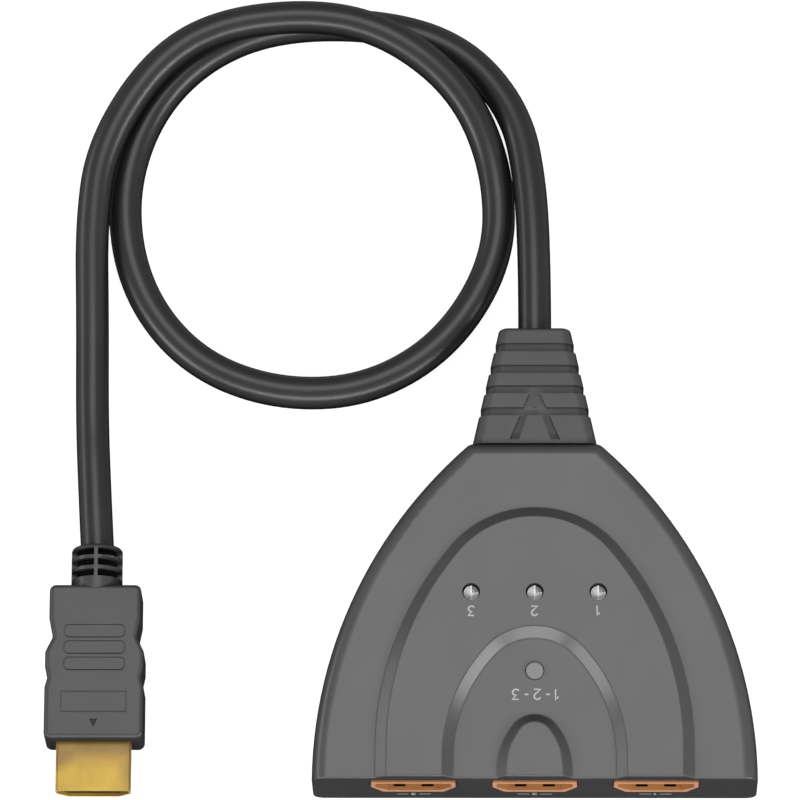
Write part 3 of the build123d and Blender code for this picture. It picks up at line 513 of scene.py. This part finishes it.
class Look(Enum):
    """The finishes of the switch box, by what they are."""

    # Finishes with satin also get painted shade: their walls and undersides are darker than their tops.
    HOUSING = Finish("housing_plastic", shade(64, 63, 64), shade(67, 66, 67), 0.5, 0.6, grain_per_m=3000.0,
                     grain_depth=0.000005, specular=0.0, satin=0.172, satin_roughness=0.28)
    BUTTON = Finish("button_plastic", shade(100, 99, 99), shade(105, 104, 104), 0.5, 0.6, specular=0.0,
                    satin=0.16)
    BOOT = Finish("boot_compound", shade(62, 61, 62), shade(67, 66, 67), 0.5, 0.6, grain_depth=0.000006,
                  specular=0.0, satin=0.115, satin_roughness=0.4)
    PLUG = Finish("plug_compound", shade(54, 54, 54), shade(58, 58, 58), 0.5, 0.6, grain_depth=0.000006,
                  specular=0.0, satin=0.125, satin_roughness=0.3)
    JACKET = Finish("cord_jacket", shade(24, 24, 25), shade(29, 29, 30), 0.5, 0.6, grain_depth=0.000004,
                    specular=0.0, satin=0.21, satin_roughness=0.34, wall=0.1, top=0.8)
    # painted shade: a near-black piece behind the plug's neck slots
    SHADOW = Finish("recess_painted_shade", shade(14, 14, 14), shade(18, 18, 18), 0.6, 0.7, specular=0.0)
    # painted shade in the pointer's recess
    POINTER = Finish("pointer_painted_shade", shade(46, 46, 46), shade(52, 52, 52), 0.6, 0.7, specular=0.0)
    PORT_METAL = Finish("port_plating", shade(144, 94, 54), shade(154, 102, 60), 0.45, 0.55, 0.2,
                        grain_per_m=5000.0, grain_depth=0.000002, specular=0.2)
    # the gold plating carries painted shade in three places
    GOLD = PlatedFinish("gold_plating", shade(128, 100, 16), shade(150, 122, 22), 0.3, 0.4, 0.3,
                        grain_per_m=5000.0, grain_depth=0.000002, tone_per_m=120.0)
    CONTACT = Finish("contact_flash", shade(200, 160, 90), shade(215, 175, 100), 0.25, 0.35, 1.0)
    INSULATOR = Finish("insulator_moulding", shade(18, 18, 19), shade(23, 23, 24), 0.5, 0.6, specular=0.2)
    BOARD = Finish("solder_mask", shade(24, 84, 52), shade(30, 96, 60), 0.2, 0.3, tone_per_m=200.0)
    CHIP = Finish("chip_epoxy", shade(28, 28, 30), shade(36, 36, 38), 0.45, 0.6)
    TIN = Finish("tinned_metal", shade(190, 190, 188), shade(212, 212, 210), 0.25, 0.4, 1.0)
    CERAMIC = Finish("capacitor_ceramic", shade(170, 140, 104), shade(184, 154, 118), 0.4, 0.5)
    STEEL = Finish("stamped_steel", shade(172, 172, 172), shade(196, 196, 196), 0.3, 0.45, 1.0)
    SWITCH = Finish("switch_moulding", shade(32, 32, 33), shade(40, 40, 41), 0.45, 0.55)
    WIRE = Finish("wire_skin", shade(190, 60, 50), shade(200, 70, 60), 0.35, 0.45)
    PRINT = Finish("pad_print", shade(146, 146, 146), shade(154, 154, 154), 0.5, 0.6, specular=0.2)
    # the pad print's ink drawn darker: painted shade on the front face
    FRONT_PRINT = Finish("front_print", shade(128, 128, 128), shade(138, 138, 138), 0.5, 0.6, specular=0.2)
    ANVIL = Finish("anvil_plate", shade(192, 192, 192), shade(202, 202, 202), 0.5, 0.6, specular=0.2)
    POST = Finish("post_plate", shade(208, 208, 208), shade(218, 218, 218), 0.5, 0.6, specular=0.2)
    GAP = Finish("lens_shadow", shade(98, 98, 99), shade(108, 108, 109), 0.5, 0.6, specular=0.2)
    WIRE_EDGE = Finish("bond_wire", shade(236, 236, 236), shade(244, 244, 244), 0.4, 0.5, specular=0.3)
    LENS = ClearFinish("lens_resin", shade(210, 212, 212))


def node_looks() -> dict[str, Look]:
    """Choose the look of each CAD node.

    Returns:
        Node name to look.
    """
    looks = {
        "upper_shell": Look.HOUSING, "lower_shell": Look.HOUSING, "case_screws": Look.STEEL,
        "circuit_board": Look.BOARD, "switch_chip": Look.CHIP, "crystal": Look.TIN, "regulator": Look.CHIP,
        "board_passives": Look.CERAMIC, "switch_base": Look.SWITCH, "switch_cover": Look.STEEL,
        "switch_dome": Look.STEEL, "switch_plunger": Look.SWITCH, "select_button": Look.BUTTON,
        "boot": Look.BOOT, "cord": Look.JACKET, "cable_end": Look.JACKET, "cable_clamp": Look.STEEL,
        "cable_wires": Look.WIRE, "plug_overmould": Look.PLUG, "plug_shell": Look.GOLD,
        "plug_insulator": Look.INSULATOR, "plug_contacts": Look.CONTACT,
    }
    for number in CHANNELS:
        looks |= {
            f"port_{number}_shell": Look.PORT_METAL, f"port_{number}_insulator": Look.INSULATOR,
            f"port_{number}_contacts": Look.CONTACT, f"light_{number}_lens": Look.LENS,
            f"light_{number}_leads": Look.TIN,
        }
    return looks


class Wardrobe:
    """Builds each finish once and puts it on objects."""

    def __init__(self) -> None:
        """Build the shared groups."""
        self._groups = SurfaceGroups()
        self._made: dict[Look, bpy.types.Material] = {}

    def material(self, look: Look) -> bpy.types.Material:
        """Give the material of a look, building it on first use.

        Args:
            look: the look.

        Returns:
            Its material.
        """
        if look not in self._made:
            self._made[look] = look.value.material(self._groups)
        return self._made[look]

    def dress(self, piece: bpy.types.Object, look: Look) -> None:
        """Put a look on every material slot of an object.

        Args:
            piece: the object.
            look: its finish.
        """
        if not piece.material_slots:
            piece.data.materials.append(self.material(look))
        for slot in piece.material_slots:
            slot.link = "OBJECT"
            slot.material = self.material(look)


def middle_of(node: str) -> Vector:
    """Give the middle of a CAD node's box."""
    low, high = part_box(node)
    return (low + high) / 2


def new_mesh(name: str, points: np.ndarray, faces: np.ndarray | list,
             smooth: bool = False) -> bpy.types.Object:
    """Make an object from arrays of points and faces.

    Args:
        name: the object's name.
        points: an array of points, one row each.
        faces: rows of point numbers.
        smooth: whether the faces are shaded smooth.

    Returns:
        The object, at the origin.
    """
    mesh = bpy.data.meshes.new(name)
    mesh.from_pydata(points.tolist(), [], [list(face) for face in faces])
    mesh.polygons.foreach_set("use_smooth", np.full(len(mesh.polygons), smooth))
    mesh.update()
    piece = bpy.data.objects.new(name, mesh)
    bpy.context.scene.collection.objects.link(piece)
    return piece


def new_prism(name: str, outline: np.ndarray, depth: Point, smooth: bool = False) -> bpy.types.Object:
    """Make a prism: a flat outline, the same outline moved by a depth, and walls from one to the other.

    Args:
        name: the object's name.
        outline: its points, one row each, counterclockwise as seen from outside.
        depth: how far the second outline lies from the first, along each axis.
        smooth: whether the faces are shaded smooth.

    Returns:
        The object, at the origin.
    """
    count = len(outline)
    ring = np.arange(count)
    after = (ring + 1) % count
    walls = np.column_stack([ring, ring + count, after + count, after])
    faces = [ring.tolist(), (ring[::-1] + count).tolist(), *walls.tolist()]
    return new_mesh(name, np.vstack([outline, outline + depth]), faces, smooth)


def arc(centre: tuple[float, float], radii: tuple[float, float], start: float, end: float,
        count: int = 14) -> np.ndarray:
    """Follow an ellipse: the centre plus each radius times the cosine or sine of an angle that grows evenly.

    Args:
        centre: the ellipse's centre.
        radii: its radii across and up.
        start: the first angle in degrees.
        end: the last angle in degrees.
        count: how many points.

    Returns:
        Points along the arc, one row each.
    """
    turn = np.radians(np.linspace(start, end, count))
    return np.column_stack([centre[0] + radii[0] * np.cos(turn), centre[1] + radii[1] * np.sin(turn)])


PEN_PATHS: dict[str, np.ndarray] = {
    "1": np.array([(0.02, 0.74), (0.30, 1.0), (0.30, 0.0)]),
    "2": np.vstack([arc((0.32, 0.70), (0.30, 0.30), 160, -38), [(0.02, 0.0), (0.64, 0.0)]]),
    "3": np.vstack([[(0.04, 1.0), (0.62, 1.0), (0.30, 0.60)], arc((0.30, 0.30), (0.32, 0.30), 80, -150)]),
    "-": np.array([(0.0, 0.5), (0.36, 0.5)]),
    "_": np.array([(0.0, 0.5), (1.7, 0.5)]),
}


@dataclass(frozen=True)
class Print:
    """Pad-printed marks: each a thin film of ink, a pen's flat section carried along a path.

    Attributes:
        height: height of a numeral.
        pen: width of its strokes.
        film: how far the ink stands over the surface, and as far under it.
        gap: space between neighbouring marks, as a share of the height.
        sharpest: the least that a corner's width is divided by, which keeps sharp corners short.
    """

    height: float = 2.08 * MM
    pen: float = 0.3 * MM
    film: float = 0.02 * MM
    gap: float = 0.3
    sharpest: float = 0.55

    def _stroke(self, path: np.ndarray) -> tuple[np.ndarray, np.ndarray]:
        """Carry the pen's section along a path.

        Each corner's section lies along the sum of the two runs' normals, over one plus their dot product.

        Args:
            path: the pen's path, one row per point, in metres.

        Returns:
            The stroke's points, section by section, and its faces as rows of point numbers.
        """
        runs = np.diff(path, axis=0)
        runs /= np.linalg.norm(runs, axis=1)[:, None]
        normals = np.column_stack([-runs[:, 1], runs[:, 0]])
        before, after = np.vstack([normals[:1], normals]), np.vstack([normals, normals[-1:]])
        spread = np.clip(1 + (before * after).sum(1), self.sharpest, None)[:, None]
        side = (before + after) / spread * self.pen / 2
        corners = [(1, self.film), (-1, self.film), (-1, -self.film), (1, -self.film)]
        sections = np.stack([np.column_stack([path + way * side, np.full(len(path), height)])
                             for way, height in corners], axis=1)
        count = len(corners)
        ring = np.arange(count)
        start = count * np.arange(len(path) - 1)[:, None]
        near, after_near = start + ring, start + (ring + 1) % count
        walls = np.stack([near, after_near, after_near + count, near + count], axis=2).reshape(-1, count)
        faces = np.vstack([walls, -ring % count, ring + count * (len(path) - 1)])
        return sections.reshape(-1, 3), faces

    def write(self, name: str, marks: str, centre: Point, across: Vector, up: Vector) -> bpy.types.Object:
        """Print a row of marks, its middle at a point of a surface.

        Args:
            name: the object's name.
            marks: the row's characters.
            centre: where its middle lies.
            across: the direction of reading.
            up: the direction of the marks' tops.

        Returns:
            The object, at the origin.
        """
        points, faces, place, count = [], [], 0.0, 0
        for mark in marks:
            path = PEN_PATHS[mark] * (self.height - self.pen) + (place, 0)
            place = path[:, 0].max() + self.gap * self.height
            stroke, sides = self._stroke(path)
            points.append(stroke)
            faces += (sides + count).tolist()
            count += len(stroke)
        flat = np.vstack(points)
        flat[:, :2] -= (flat[:, :2].max(0) + flat[:, :2].min(0)) / 2
        axes = np.array([across, up, across.cross(up)])
        return new_mesh(name, flat @ axes + np.array(centre), faces)


@dataclass
class Housing:
    """The housing's printed marks: numerals by the lights, the button and the sockets.

    Attributes:
        numeral_y: where the numerals by the lights have their middle.
        terrace: height of one terrace over the next.
        cycle_place: middle of the row of numbers in front of the button.
        socket_print_z: height of the row under each socket.
        numerals: how the numerals by the lights are printed.
        cycle: how the row in front of the button is printed.
        socket_print: how the rows under the sockets are printed.
    """

    numeral_y: float = -12.22 * MM
    terrace: float = 1.5 * MM
    cycle_place: tuple[float, float] = (0.1 * MM, -27.76 * MM)
    socket_print_z: float = 3.45 * MM
    numerals: Print = field(default_factory=Print)
    cycle: Print = field(default_factory=lambda: Print(height=2.22 * MM, gap=0.46))
    socket_print: Print = field(default_factory=lambda: Print(height=1.5 * MM, pen=0.24 * MM, gap=0.4))

    def build(self, wardrobe: Wardrobe) -> None:
        """Print the marks, all turned to be read from behind the box.

        Args:
            wardrobe: gives the finishes.
        """
        leftward, forward, down = Vector((-1, 0, 0)), Vector((0, -1, 0)), Vector((0, 0, -1))
        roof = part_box("upper_shell")[1].z
        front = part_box("lower_shell")[0].y
        for number in CHANNELS:
            place = (middle_of(f"light_{number}_lens").x, self.numeral_y, roof)
            numeral = self.numerals.write(f"light_{number}_numeral", str(number), place, leftward, forward)
            self._print(numeral, wardrobe, Look.PRINT)
            place = (middle_of(f"port_{number}_shell").x, front, self.socket_print_z)
            row = self.socket_print.write(f"port_{number}_numeral", f"_{number}_", place, leftward, down)
            self._print(row, wardrobe, Look.FRONT_PRINT)
        place = (*self.cycle_place, roof - self.terrace)
        row = self.cycle.write("button_numerals", "1-2-3", place, leftward, forward)
        self._print(row, wardrobe, Look.PRINT)

    @staticmethod
    def _print(marks: bpy.types.Object, wardrobe: Wardrobe, look: Look) -> None:
        """Dress a row of marks and fix it to the box.

        Args:
            marks: the row.
            wardrobe: gives the finishes.
            look: its ink.
        """
        wardrobe.dress(marks, look)
        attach(marks, "root")
        LOG.info("%s: printed", marks.name)


@dataclass
class Lamp:
    """What shows through a light's clear lens: the lead frame's two plates and the wire between them.

    Attributes:
        radius: how far the plates reach from the light's axis.
        depth: how far under the lens's top they lie.
        plate: thickness of a plate.
        wire: width of the bright edge between the plates.
        wedge: the angles, in degrees, between which the dark gap opens.
        arc_points: points along a plate's round edge.
    """

    radius: float = 1.36 * MM
    depth: float = 0.62 * MM
    plate: float = 0.3 * MM
    wire: float = 0.26 * MM
    wedge: tuple[float, float] = (8.0, 82.0)
    arc_points: int = 20

    def _sector(self, start: float, end: float) -> np.ndarray:
        """Outline a slice of a disc: its centre, then the arc of the plates' radius.

        Args:
            start: the first angle in degrees.
            end: the last angle in degrees.

        Returns:
            The outline's points, counterclockwise.
        """
        rim = arc((0.0, 0.0), (self.radius, self.radius), start, end, self.arc_points)
        return np.vstack([[(0.0, 0.0)], rim])

    def build(self, wardrobe: Wardrobe) -> None:
        """Put the plates, the gap and the wire inside each light; the wire stands half its width higher.

        Args:
            wardrobe: gives the finishes.
        """
        half, reach = self.wire / 2, self.radius
        bar = np.array([(-half, -reach), (half, -reach), (half, reach), (-half, reach)])
        shapes = {
            "anvil": (self._sector(90, 270), 0.0, Look.ANVIL),
            "post": (self._sector(-90, self.wedge[0]), 0.0, Look.POST),
            # the gap's grey sector is painted shadow between the plates
            "gap": (self._sector(*self.wedge), 0.0, Look.GAP),
            "wire": (bar, half, Look.WIRE_EDGE),
        }
        for number in CHANNELS:
            lens = f"light_{number}_lens"
            middle = middle_of(lens)
            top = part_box(lens)[1].z - self.depth
            for name, (outline, lift, look) in shapes.items():
                raised = np.insert(outline, 2, top + lift, axis=1) + (middle.x, middle.y, 0)
                piece = new_prism(f"light_{number}_{name}", raised, (0, 0, -self.plate))
                wardrobe.dress(piece, look)
                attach(piece, "root")
            LOG.info("light %d: %s", number, ", ".join(shapes))


@dataclass
class PlugDetails:
    """Painted shade in the plug's depths: a dark piece in the slots of its neck, and the pointer's dark
    filling.

    Attributes:
        crown: height of the plug body over the surface that it rests on.
        sleeve_radius: radius of the painted shade piece under the slotted neck.
        sleeve_sides: how many sides stand in for that piece's round wall.
        sleeve_run: where that piece starts and ends along +Y, from the end where the cord leaves.
        pointer_half: half the pointer's width and length.
        pointer_from_face: from the face where the metal shell comes out to the pointer's middle.
        pointer_depth: depth of the pointer's recess.
        pointer_clear: how far the filling stays under the plug's surface.
    """

    crown: float = 9.6 * MM
    sleeve_radius: float = 3.72 * MM
    sleeve_sides: int = 48
    sleeve_run: tuple[float, float] = (-7.4 * MM, -0.9 * MM)
    pointer_half: float = 0.68 * MM
    pointer_from_face: float = 2.9 * MM
    pointer_depth: float = 0.3 * MM
    pointer_clear: float = 0.1 * MM

    def _sleeve(self) -> bpy.types.Object:
        """Make the neck's painted shade: a circle round the cord's line, carried along it.

        Returns:
            The dark piece, with closed ends.
        """
        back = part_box("plug_overmould")[1].y
        start, end = (back + place for place in self.sleeve_run)
        centre = (middle_of("plug_overmould").x, self.crown / 2)
        circle = arc(centre, (self.sleeve_radius, self.sleeve_radius), 0, 360, self.sleeve_sides + 1)[:-1]
        return new_prism("plug_neck_painted_shade", np.insert(circle, 1, start, axis=1), (0, end - start, 0),
                         smooth=True)

    def _pointer(self) -> bpy.types.Object:
        """Fill the pointer's recess with painted shade: its triangle at two heights, joined by walls.

        Returns:
            The filling.
        """
        half, top = self.pointer_half, self.crown - self.pointer_clear
        x = middle_of("plug_overmould").x
        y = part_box("plug_overmould")[0].y + self.pointer_from_face
        outline = np.array([(x - half, y + half, top), (x, y - half, top), (x + half, y + half, top)])
        return new_prism("plug_pointer_fill", outline, (0, 0, self.pointer_clear - self.pointer_depth))

    def build(self, wardrobe: Wardrobe) -> list[bpy.types.Object]:
        """Add both to the plug.

        Args:
            wardrobe: gives the finishes.

        Returns:
            The neck's painted shade and the pointer's filling.
        """
        fills = [self._sleeve(), self._pointer()]
        for piece, look in zip(fills, (Look.SHADOW, Look.POINTER)):
            wardrobe.dress(piece, look)
            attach(piece, "root")
            LOG.info("%s: added", piece.name)
        return fills


@dataclass
class Lead:
    """The captive lead: a free cord from the boot to the plug.

    Attributes:
        diameter: the cord's diameter.
        length: its real length.
        rest: height of its centre where it lies on the floor, in millimetres.
        steps_along: the curve's steps from one point to the next.
        steps_round: the bevel's extra steps round half of the cord.
        order: the curve's order, one more than its degree.
        plug_nodes: the CAD nodes of the plug at its far end; not used.
    """

    diameter: float = 6.2 * MM
    length: float = 0.4447
    rest: float = 3.15
    steps_along: int = 10
    steps_round: int = 8
    order: int = 3
    plug_nodes: tuple[str, ...] = ("plug_overmould", "plug_shell", "plug_insulator", "plug_contacts")

    def route(self) -> list[Point]:
        """Give the route's points in millimetres, from the boot to the plug."""
        rest = self.rest
        return [
            (0, 44.0, 7.4), (0, 57.0, 7.4), (-0.8, 74.6, 6.1), (-3.6, 89.2, 4.2), (-13.6, 102.0, rest),
            (-29.0, 107.2, rest), (-49.9, 106.9, rest), (-64.5, 100.0, rest), (-74.3, 87.6, rest),
            (-78.2, 70.8, rest), (-74.8, 53.3, rest), (-64.3, 39.9, rest), (-48.7, 33.5, rest),
            (-31.3, 34.2, rest), (-16.3, 43.5, rest), (-6.7, 60.2, rest), (-6.9, 77.6, rest),
            (-13.2, 92.4, 7.1), (-26.2, 102.7, 9.95), (-40.4, 106.9, 9.95), (-59.9, 104.9, 9.95),
            (-72.1, 96.8, 9.7), (-81.6, 81.1, 8.3), (-83.5, 66.4, 6.2), (-83.1, 47.7, 3.7),
            (-82.9, 29.2, rest), (-82.2, 16.0, 4.8), (-81.4, 2.8, 4.8),
        ]

    def build(self, wardrobe: Wardrobe, nodes: Pieces, fills: list[bpy.types.Object]) -> None:
        """Lay the cord along its route.

        Args:
            wardrobe: gives the finishes.
            nodes: the CAD nodes by name; not used.
            fills: the dark depths that go with the plug, painted shade; not used.
        """
        curve = bpy.data.curves.new("lead_cord", "CURVE")
        curve.dimensions = "3D"
        curve.resolution_u = self.steps_along
        curve.bevel_depth = self.diameter / 2
        curve.bevel_resolution = self.steps_round
        curve.use_fill_caps = True
        spline = curve.splines.new("NURBS")
        points = self.route()
        spline.points.add(len(points) - 1)
        for point, place in zip(spline.points, points):
            point.co = (*(part * MM for part in place), 1.0)
        spline.order_u = self.order
        spline.use_endpoint_u = True
        spline.use_smooth = True
        cord = bpy.data.objects.new("lead_cord", curve)
        bpy.context.scene.collection.objects.link(cord)
        wardrobe.dress(cord, Look.JACKET)
        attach(cord, "root")
        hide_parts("cord")
        LOG.info("lead: %d route points, %.3f m", len(points), self.length)


@dataclass(frozen=True)
class Softbox:
    """A rectangular lamp aimed at the object.

    Attributes:
        name: the lamp's name.
        place: where it stands.
        size: its width and height.
        power: its power in watts.
        aim: what it faces, near the middle of the object.
    """

    name: str
    place: Point
    size: tuple[float, float]
    power: float
    aim: Point = (-0.02, 0.02, 0.0)

    def build(self) -> None:
        """Set the lamp up; it lights the object but isn't seen itself."""
        lamp = bpy.data.lights.new(self.name, "AREA")
        lamp.shape = "RECTANGLE"
        lamp.size, lamp.size_y = self.size
        lamp.energy = self.power
        holder = bpy.data.objects.new(self.name, lamp)
        holder.visible_camera = False
        direction = Vector(self.aim) - Vector(self.place)
        turn = direction.to_track_quat("-Z", "Y").to_matrix().to_4x4()
        holder.matrix_world = Matrix.Translation(self.place) @ turn
        bpy.context.scene.collection.objects.link(holder)


@dataclass
class Studio:
    """Camera, lamps, world and floor.

    Attributes:
        focal_px: the camera's focal length, in pixels of the picture.
        picture_px: the picture's width.
        sensor: the sensor's width in millimetres.
        sight: how far the camera sees.
        nadir: where straight down would show in the picture, in pixels from its middle.
        camera_place: where the camera stands.
        floor_size: side of the floor.
        floor_drop: how far the floor lies under the object, so that the two never share a plane.
        floor_tone: how much of the lamps' light the floor gives back.
        floor_roughness: roughness of the floor.
        floor_glow: light that the camera sees on top of that, up to white.
        world_level: strength of the dim light from all round.
        lamps: the lamps.
    """

    focal_px: float = 8000.0
    picture_px: float = 800.0
    sensor: float = 36.0
    sight: float = 20.0
    nadir: tuple[float, float] = (134.7, 2476.0)
    camera_place: Point = (0.0, -0.41064, 1.435063)
    floor_size: float = 8.0
    floor_drop: float = 0.02 * MM
    floor_tone: float = 0.27
    floor_roughness: float = 0.9
    floor_glow: float = 0.87
    world_level: float = 0.03
    lamps: tuple[Softbox, ...] = (
        Softbox("overhead_softbox", (0.0, 0.36, 1.15), (0.66, 0.60), 6.2),
        Softbox("front_softbox", (-0.05, -1.05, 0.70), (1.4, 0.18), 17.0),
        Softbox("front_right_softbox", (0.95, -0.58, 0.55), (0.95, 0.18), 15.0),
        Softbox("front_left_softbox", (-0.98, -0.50, 0.50), (0.7, 0.16), 9.0),
        Softbox("left_softbox", (-1.1, 0.30, 0.34), (0.6, 0.16), 3.0),
    )

    def camera_matrix(self) -> Matrix:
        """Work out the camera's attitude from where straight down shows in the picture.

        Returns:
            The camera's world matrix.
        """
        down_x, down_y = self.nadir
        far = self.focal_px
        up = Vector((-down_x, down_y, far)).normalized()
        back = Vector((down_x, (far * far + down_x * down_x) / down_y, -far)).normalized()
        back = (back - up * back.dot(up)).normalized()
        right = back.cross(up)
        turn = Matrix((right, back, up)).to_4x4()
        return Matrix.Translation(self.camera_place) @ turn

    def build(self) -> None:
        """Set up the camera, the lamps, the world and the floor."""
        scene = bpy.context.scene
        optics = bpy.data.cameras.new("camera")
        optics.sensor_width = self.sensor
        optics.lens = self.focal_px / self.picture_px * self.sensor
        optics.clip_end = self.sight
        camera = bpy.data.objects.new("camera", optics)
        camera.matrix_world = self.camera_matrix()
        scene.collection.objects.link(camera)
        scene.camera = camera
        scene.view_settings.view_transform = "Standard"
        for lamp in self.lamps:
            lamp.build()
        self._world(scene)
        self._floor()
        LOG.info("studio: %d lamps", len(self.lamps))

    @staticmethod
    def _white_for_eyes(tree: bpy.types.NodeTree) -> bpy.types.NodeSocket:
        """Give a mask that is 1 for camera, mirror and see-through rays.

        Args:
            tree: the node tree that needs it.

        Returns:
            The mask's socket.
        """
        path = tree.nodes.new("ShaderNodeLightPath")
        rays = ("Is Camera Ray", "Is Glossy Ray", "Is Transmission Ray")
        return greatest(tree, [path.outputs[ray] for ray in rays])

    @staticmethod
    def _mix(tree: bpy.types.NodeTree, share: bpy.types.NodeSocket, first: bpy.types.ShaderNode,
             second: bpy.types.ShaderNode) -> bpy.types.ShaderNode:
        """Mix two shaders.

        Args:
            tree: the node tree that holds them.
            share: the socket that gives the second one's share.
            first: the first shader.
            second: the second shader.

        Returns:
            The mixing node.
        """
        mix = tree.nodes.new("ShaderNodeMixShader")
        tree.links.new(share, mix.inputs["Fac"])
        tree.links.new(first.outputs[0], mix.inputs[1])
        tree.links.new(second.outputs[0], mix.inputs[2])
        return mix

    def _world(self, scene: bpy.types.Scene) -> None:
        """Make a dim world that the camera sees as white.

        Args:
            scene: the scene.
        """
        world = bpy.data.worlds.new("studio_world")
        world.use_nodes = True
        tree = world.node_tree
        plain = tree.nodes["Background"]
        plain.inputs["Color"].default_value = (1.0, 1.0, 1.0, 1.0)
        plain.inputs["Strength"].default_value = self.world_level
        white = tree.nodes.new("ShaderNodeBackground")
        white.inputs["Strength"].default_value = 1.0
        mix = self._mix(tree, self._white_for_eyes(tree), plain, white)
        tree.links.new(mix.outputs[0], tree.nodes["World Output"].inputs["Surface"])
        scene.world = world

    def _floor(self) -> None:
        """Lay the floor: a square just under the object."""
        square = np.array([(-1, -1, 0), (1, -1, 0), (1, 1, 0), (-1, 1, 0)])
        floor = new_mesh("floor", square * self.floor_size / 2 - (0, 0, self.floor_drop), [(0, 1, 2, 3)])
        floor.data.materials.append(self._floor_material())

    def _floor_material(self) -> bpy.types.Material:
        """Make a pale floor that shows white, keeps the object's shadow and is clear from below.

        Returns:
            The material.
        """
        material = bpy.data.materials.new("pale_floor")
        material.use_nodes = True
        tree = material.node_tree
        shader = tree.nodes["Principled BSDF"]
        shader.inputs["Base Color"].default_value = (*[self.floor_tone] * 3, 1.0)
        shader.inputs["Roughness"].default_value = self.floor_roughness
        shader.inputs["Specular IOR Level"].default_value = 0.0
        glow = tree.nodes.new("ShaderNodeEmission")
        glow.inputs["Strength"].default_value = self.floor_glow
        both = tree.nodes.new("ShaderNodeAddShader")
        tree.links.new(shader.outputs[0], both.inputs[0])
        tree.links.new(glow.outputs[0], both.inputs[1])
        white = self._mix(tree, self._white_for_eyes(tree), shader, both)
        behind = tree.nodes.new("ShaderNodeNewGeometry").outputs["Backfacing"]
        seen = self._mix(tree, behind, white, tree.nodes.new("ShaderNodeBsdfTransparent"))
        tree.links.new(seen.outputs[0], tree.nodes["Material Output"].inputs["Surface"])
        return material


def dress_frame(wardrobe: Wardrobe, nodes: Pieces) -> None:
    """Give every CAD node its finish.

    Args:
        wardrobe: gives the finishes.
        nodes: the CAD nodes by name.
    """
    looks = node_looks()
    for name, node in nodes.items():
        wardrobe.dress(node, looks[name])
        LOG.info("%s: %s", name, looks[name].name.lower())


def main() -> None:
    """Load the frame, dress it and set the studio up."""
    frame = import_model()
    nodes = frame["nodes"]
    wardrobe = Wardrobe()
    dress_frame(wardrobe, nodes)
    Housing().build(wardrobe)
    Lamp().build(wardrobe)
    fills = PlugDetails().build(wardrobe)
    Lead().build(wardrobe, nodes, fills)
    Studio().build()


if __name__ == "__main__":
    logging.basicConfig(level=logging.INFO, format="%(message)s")
    main()
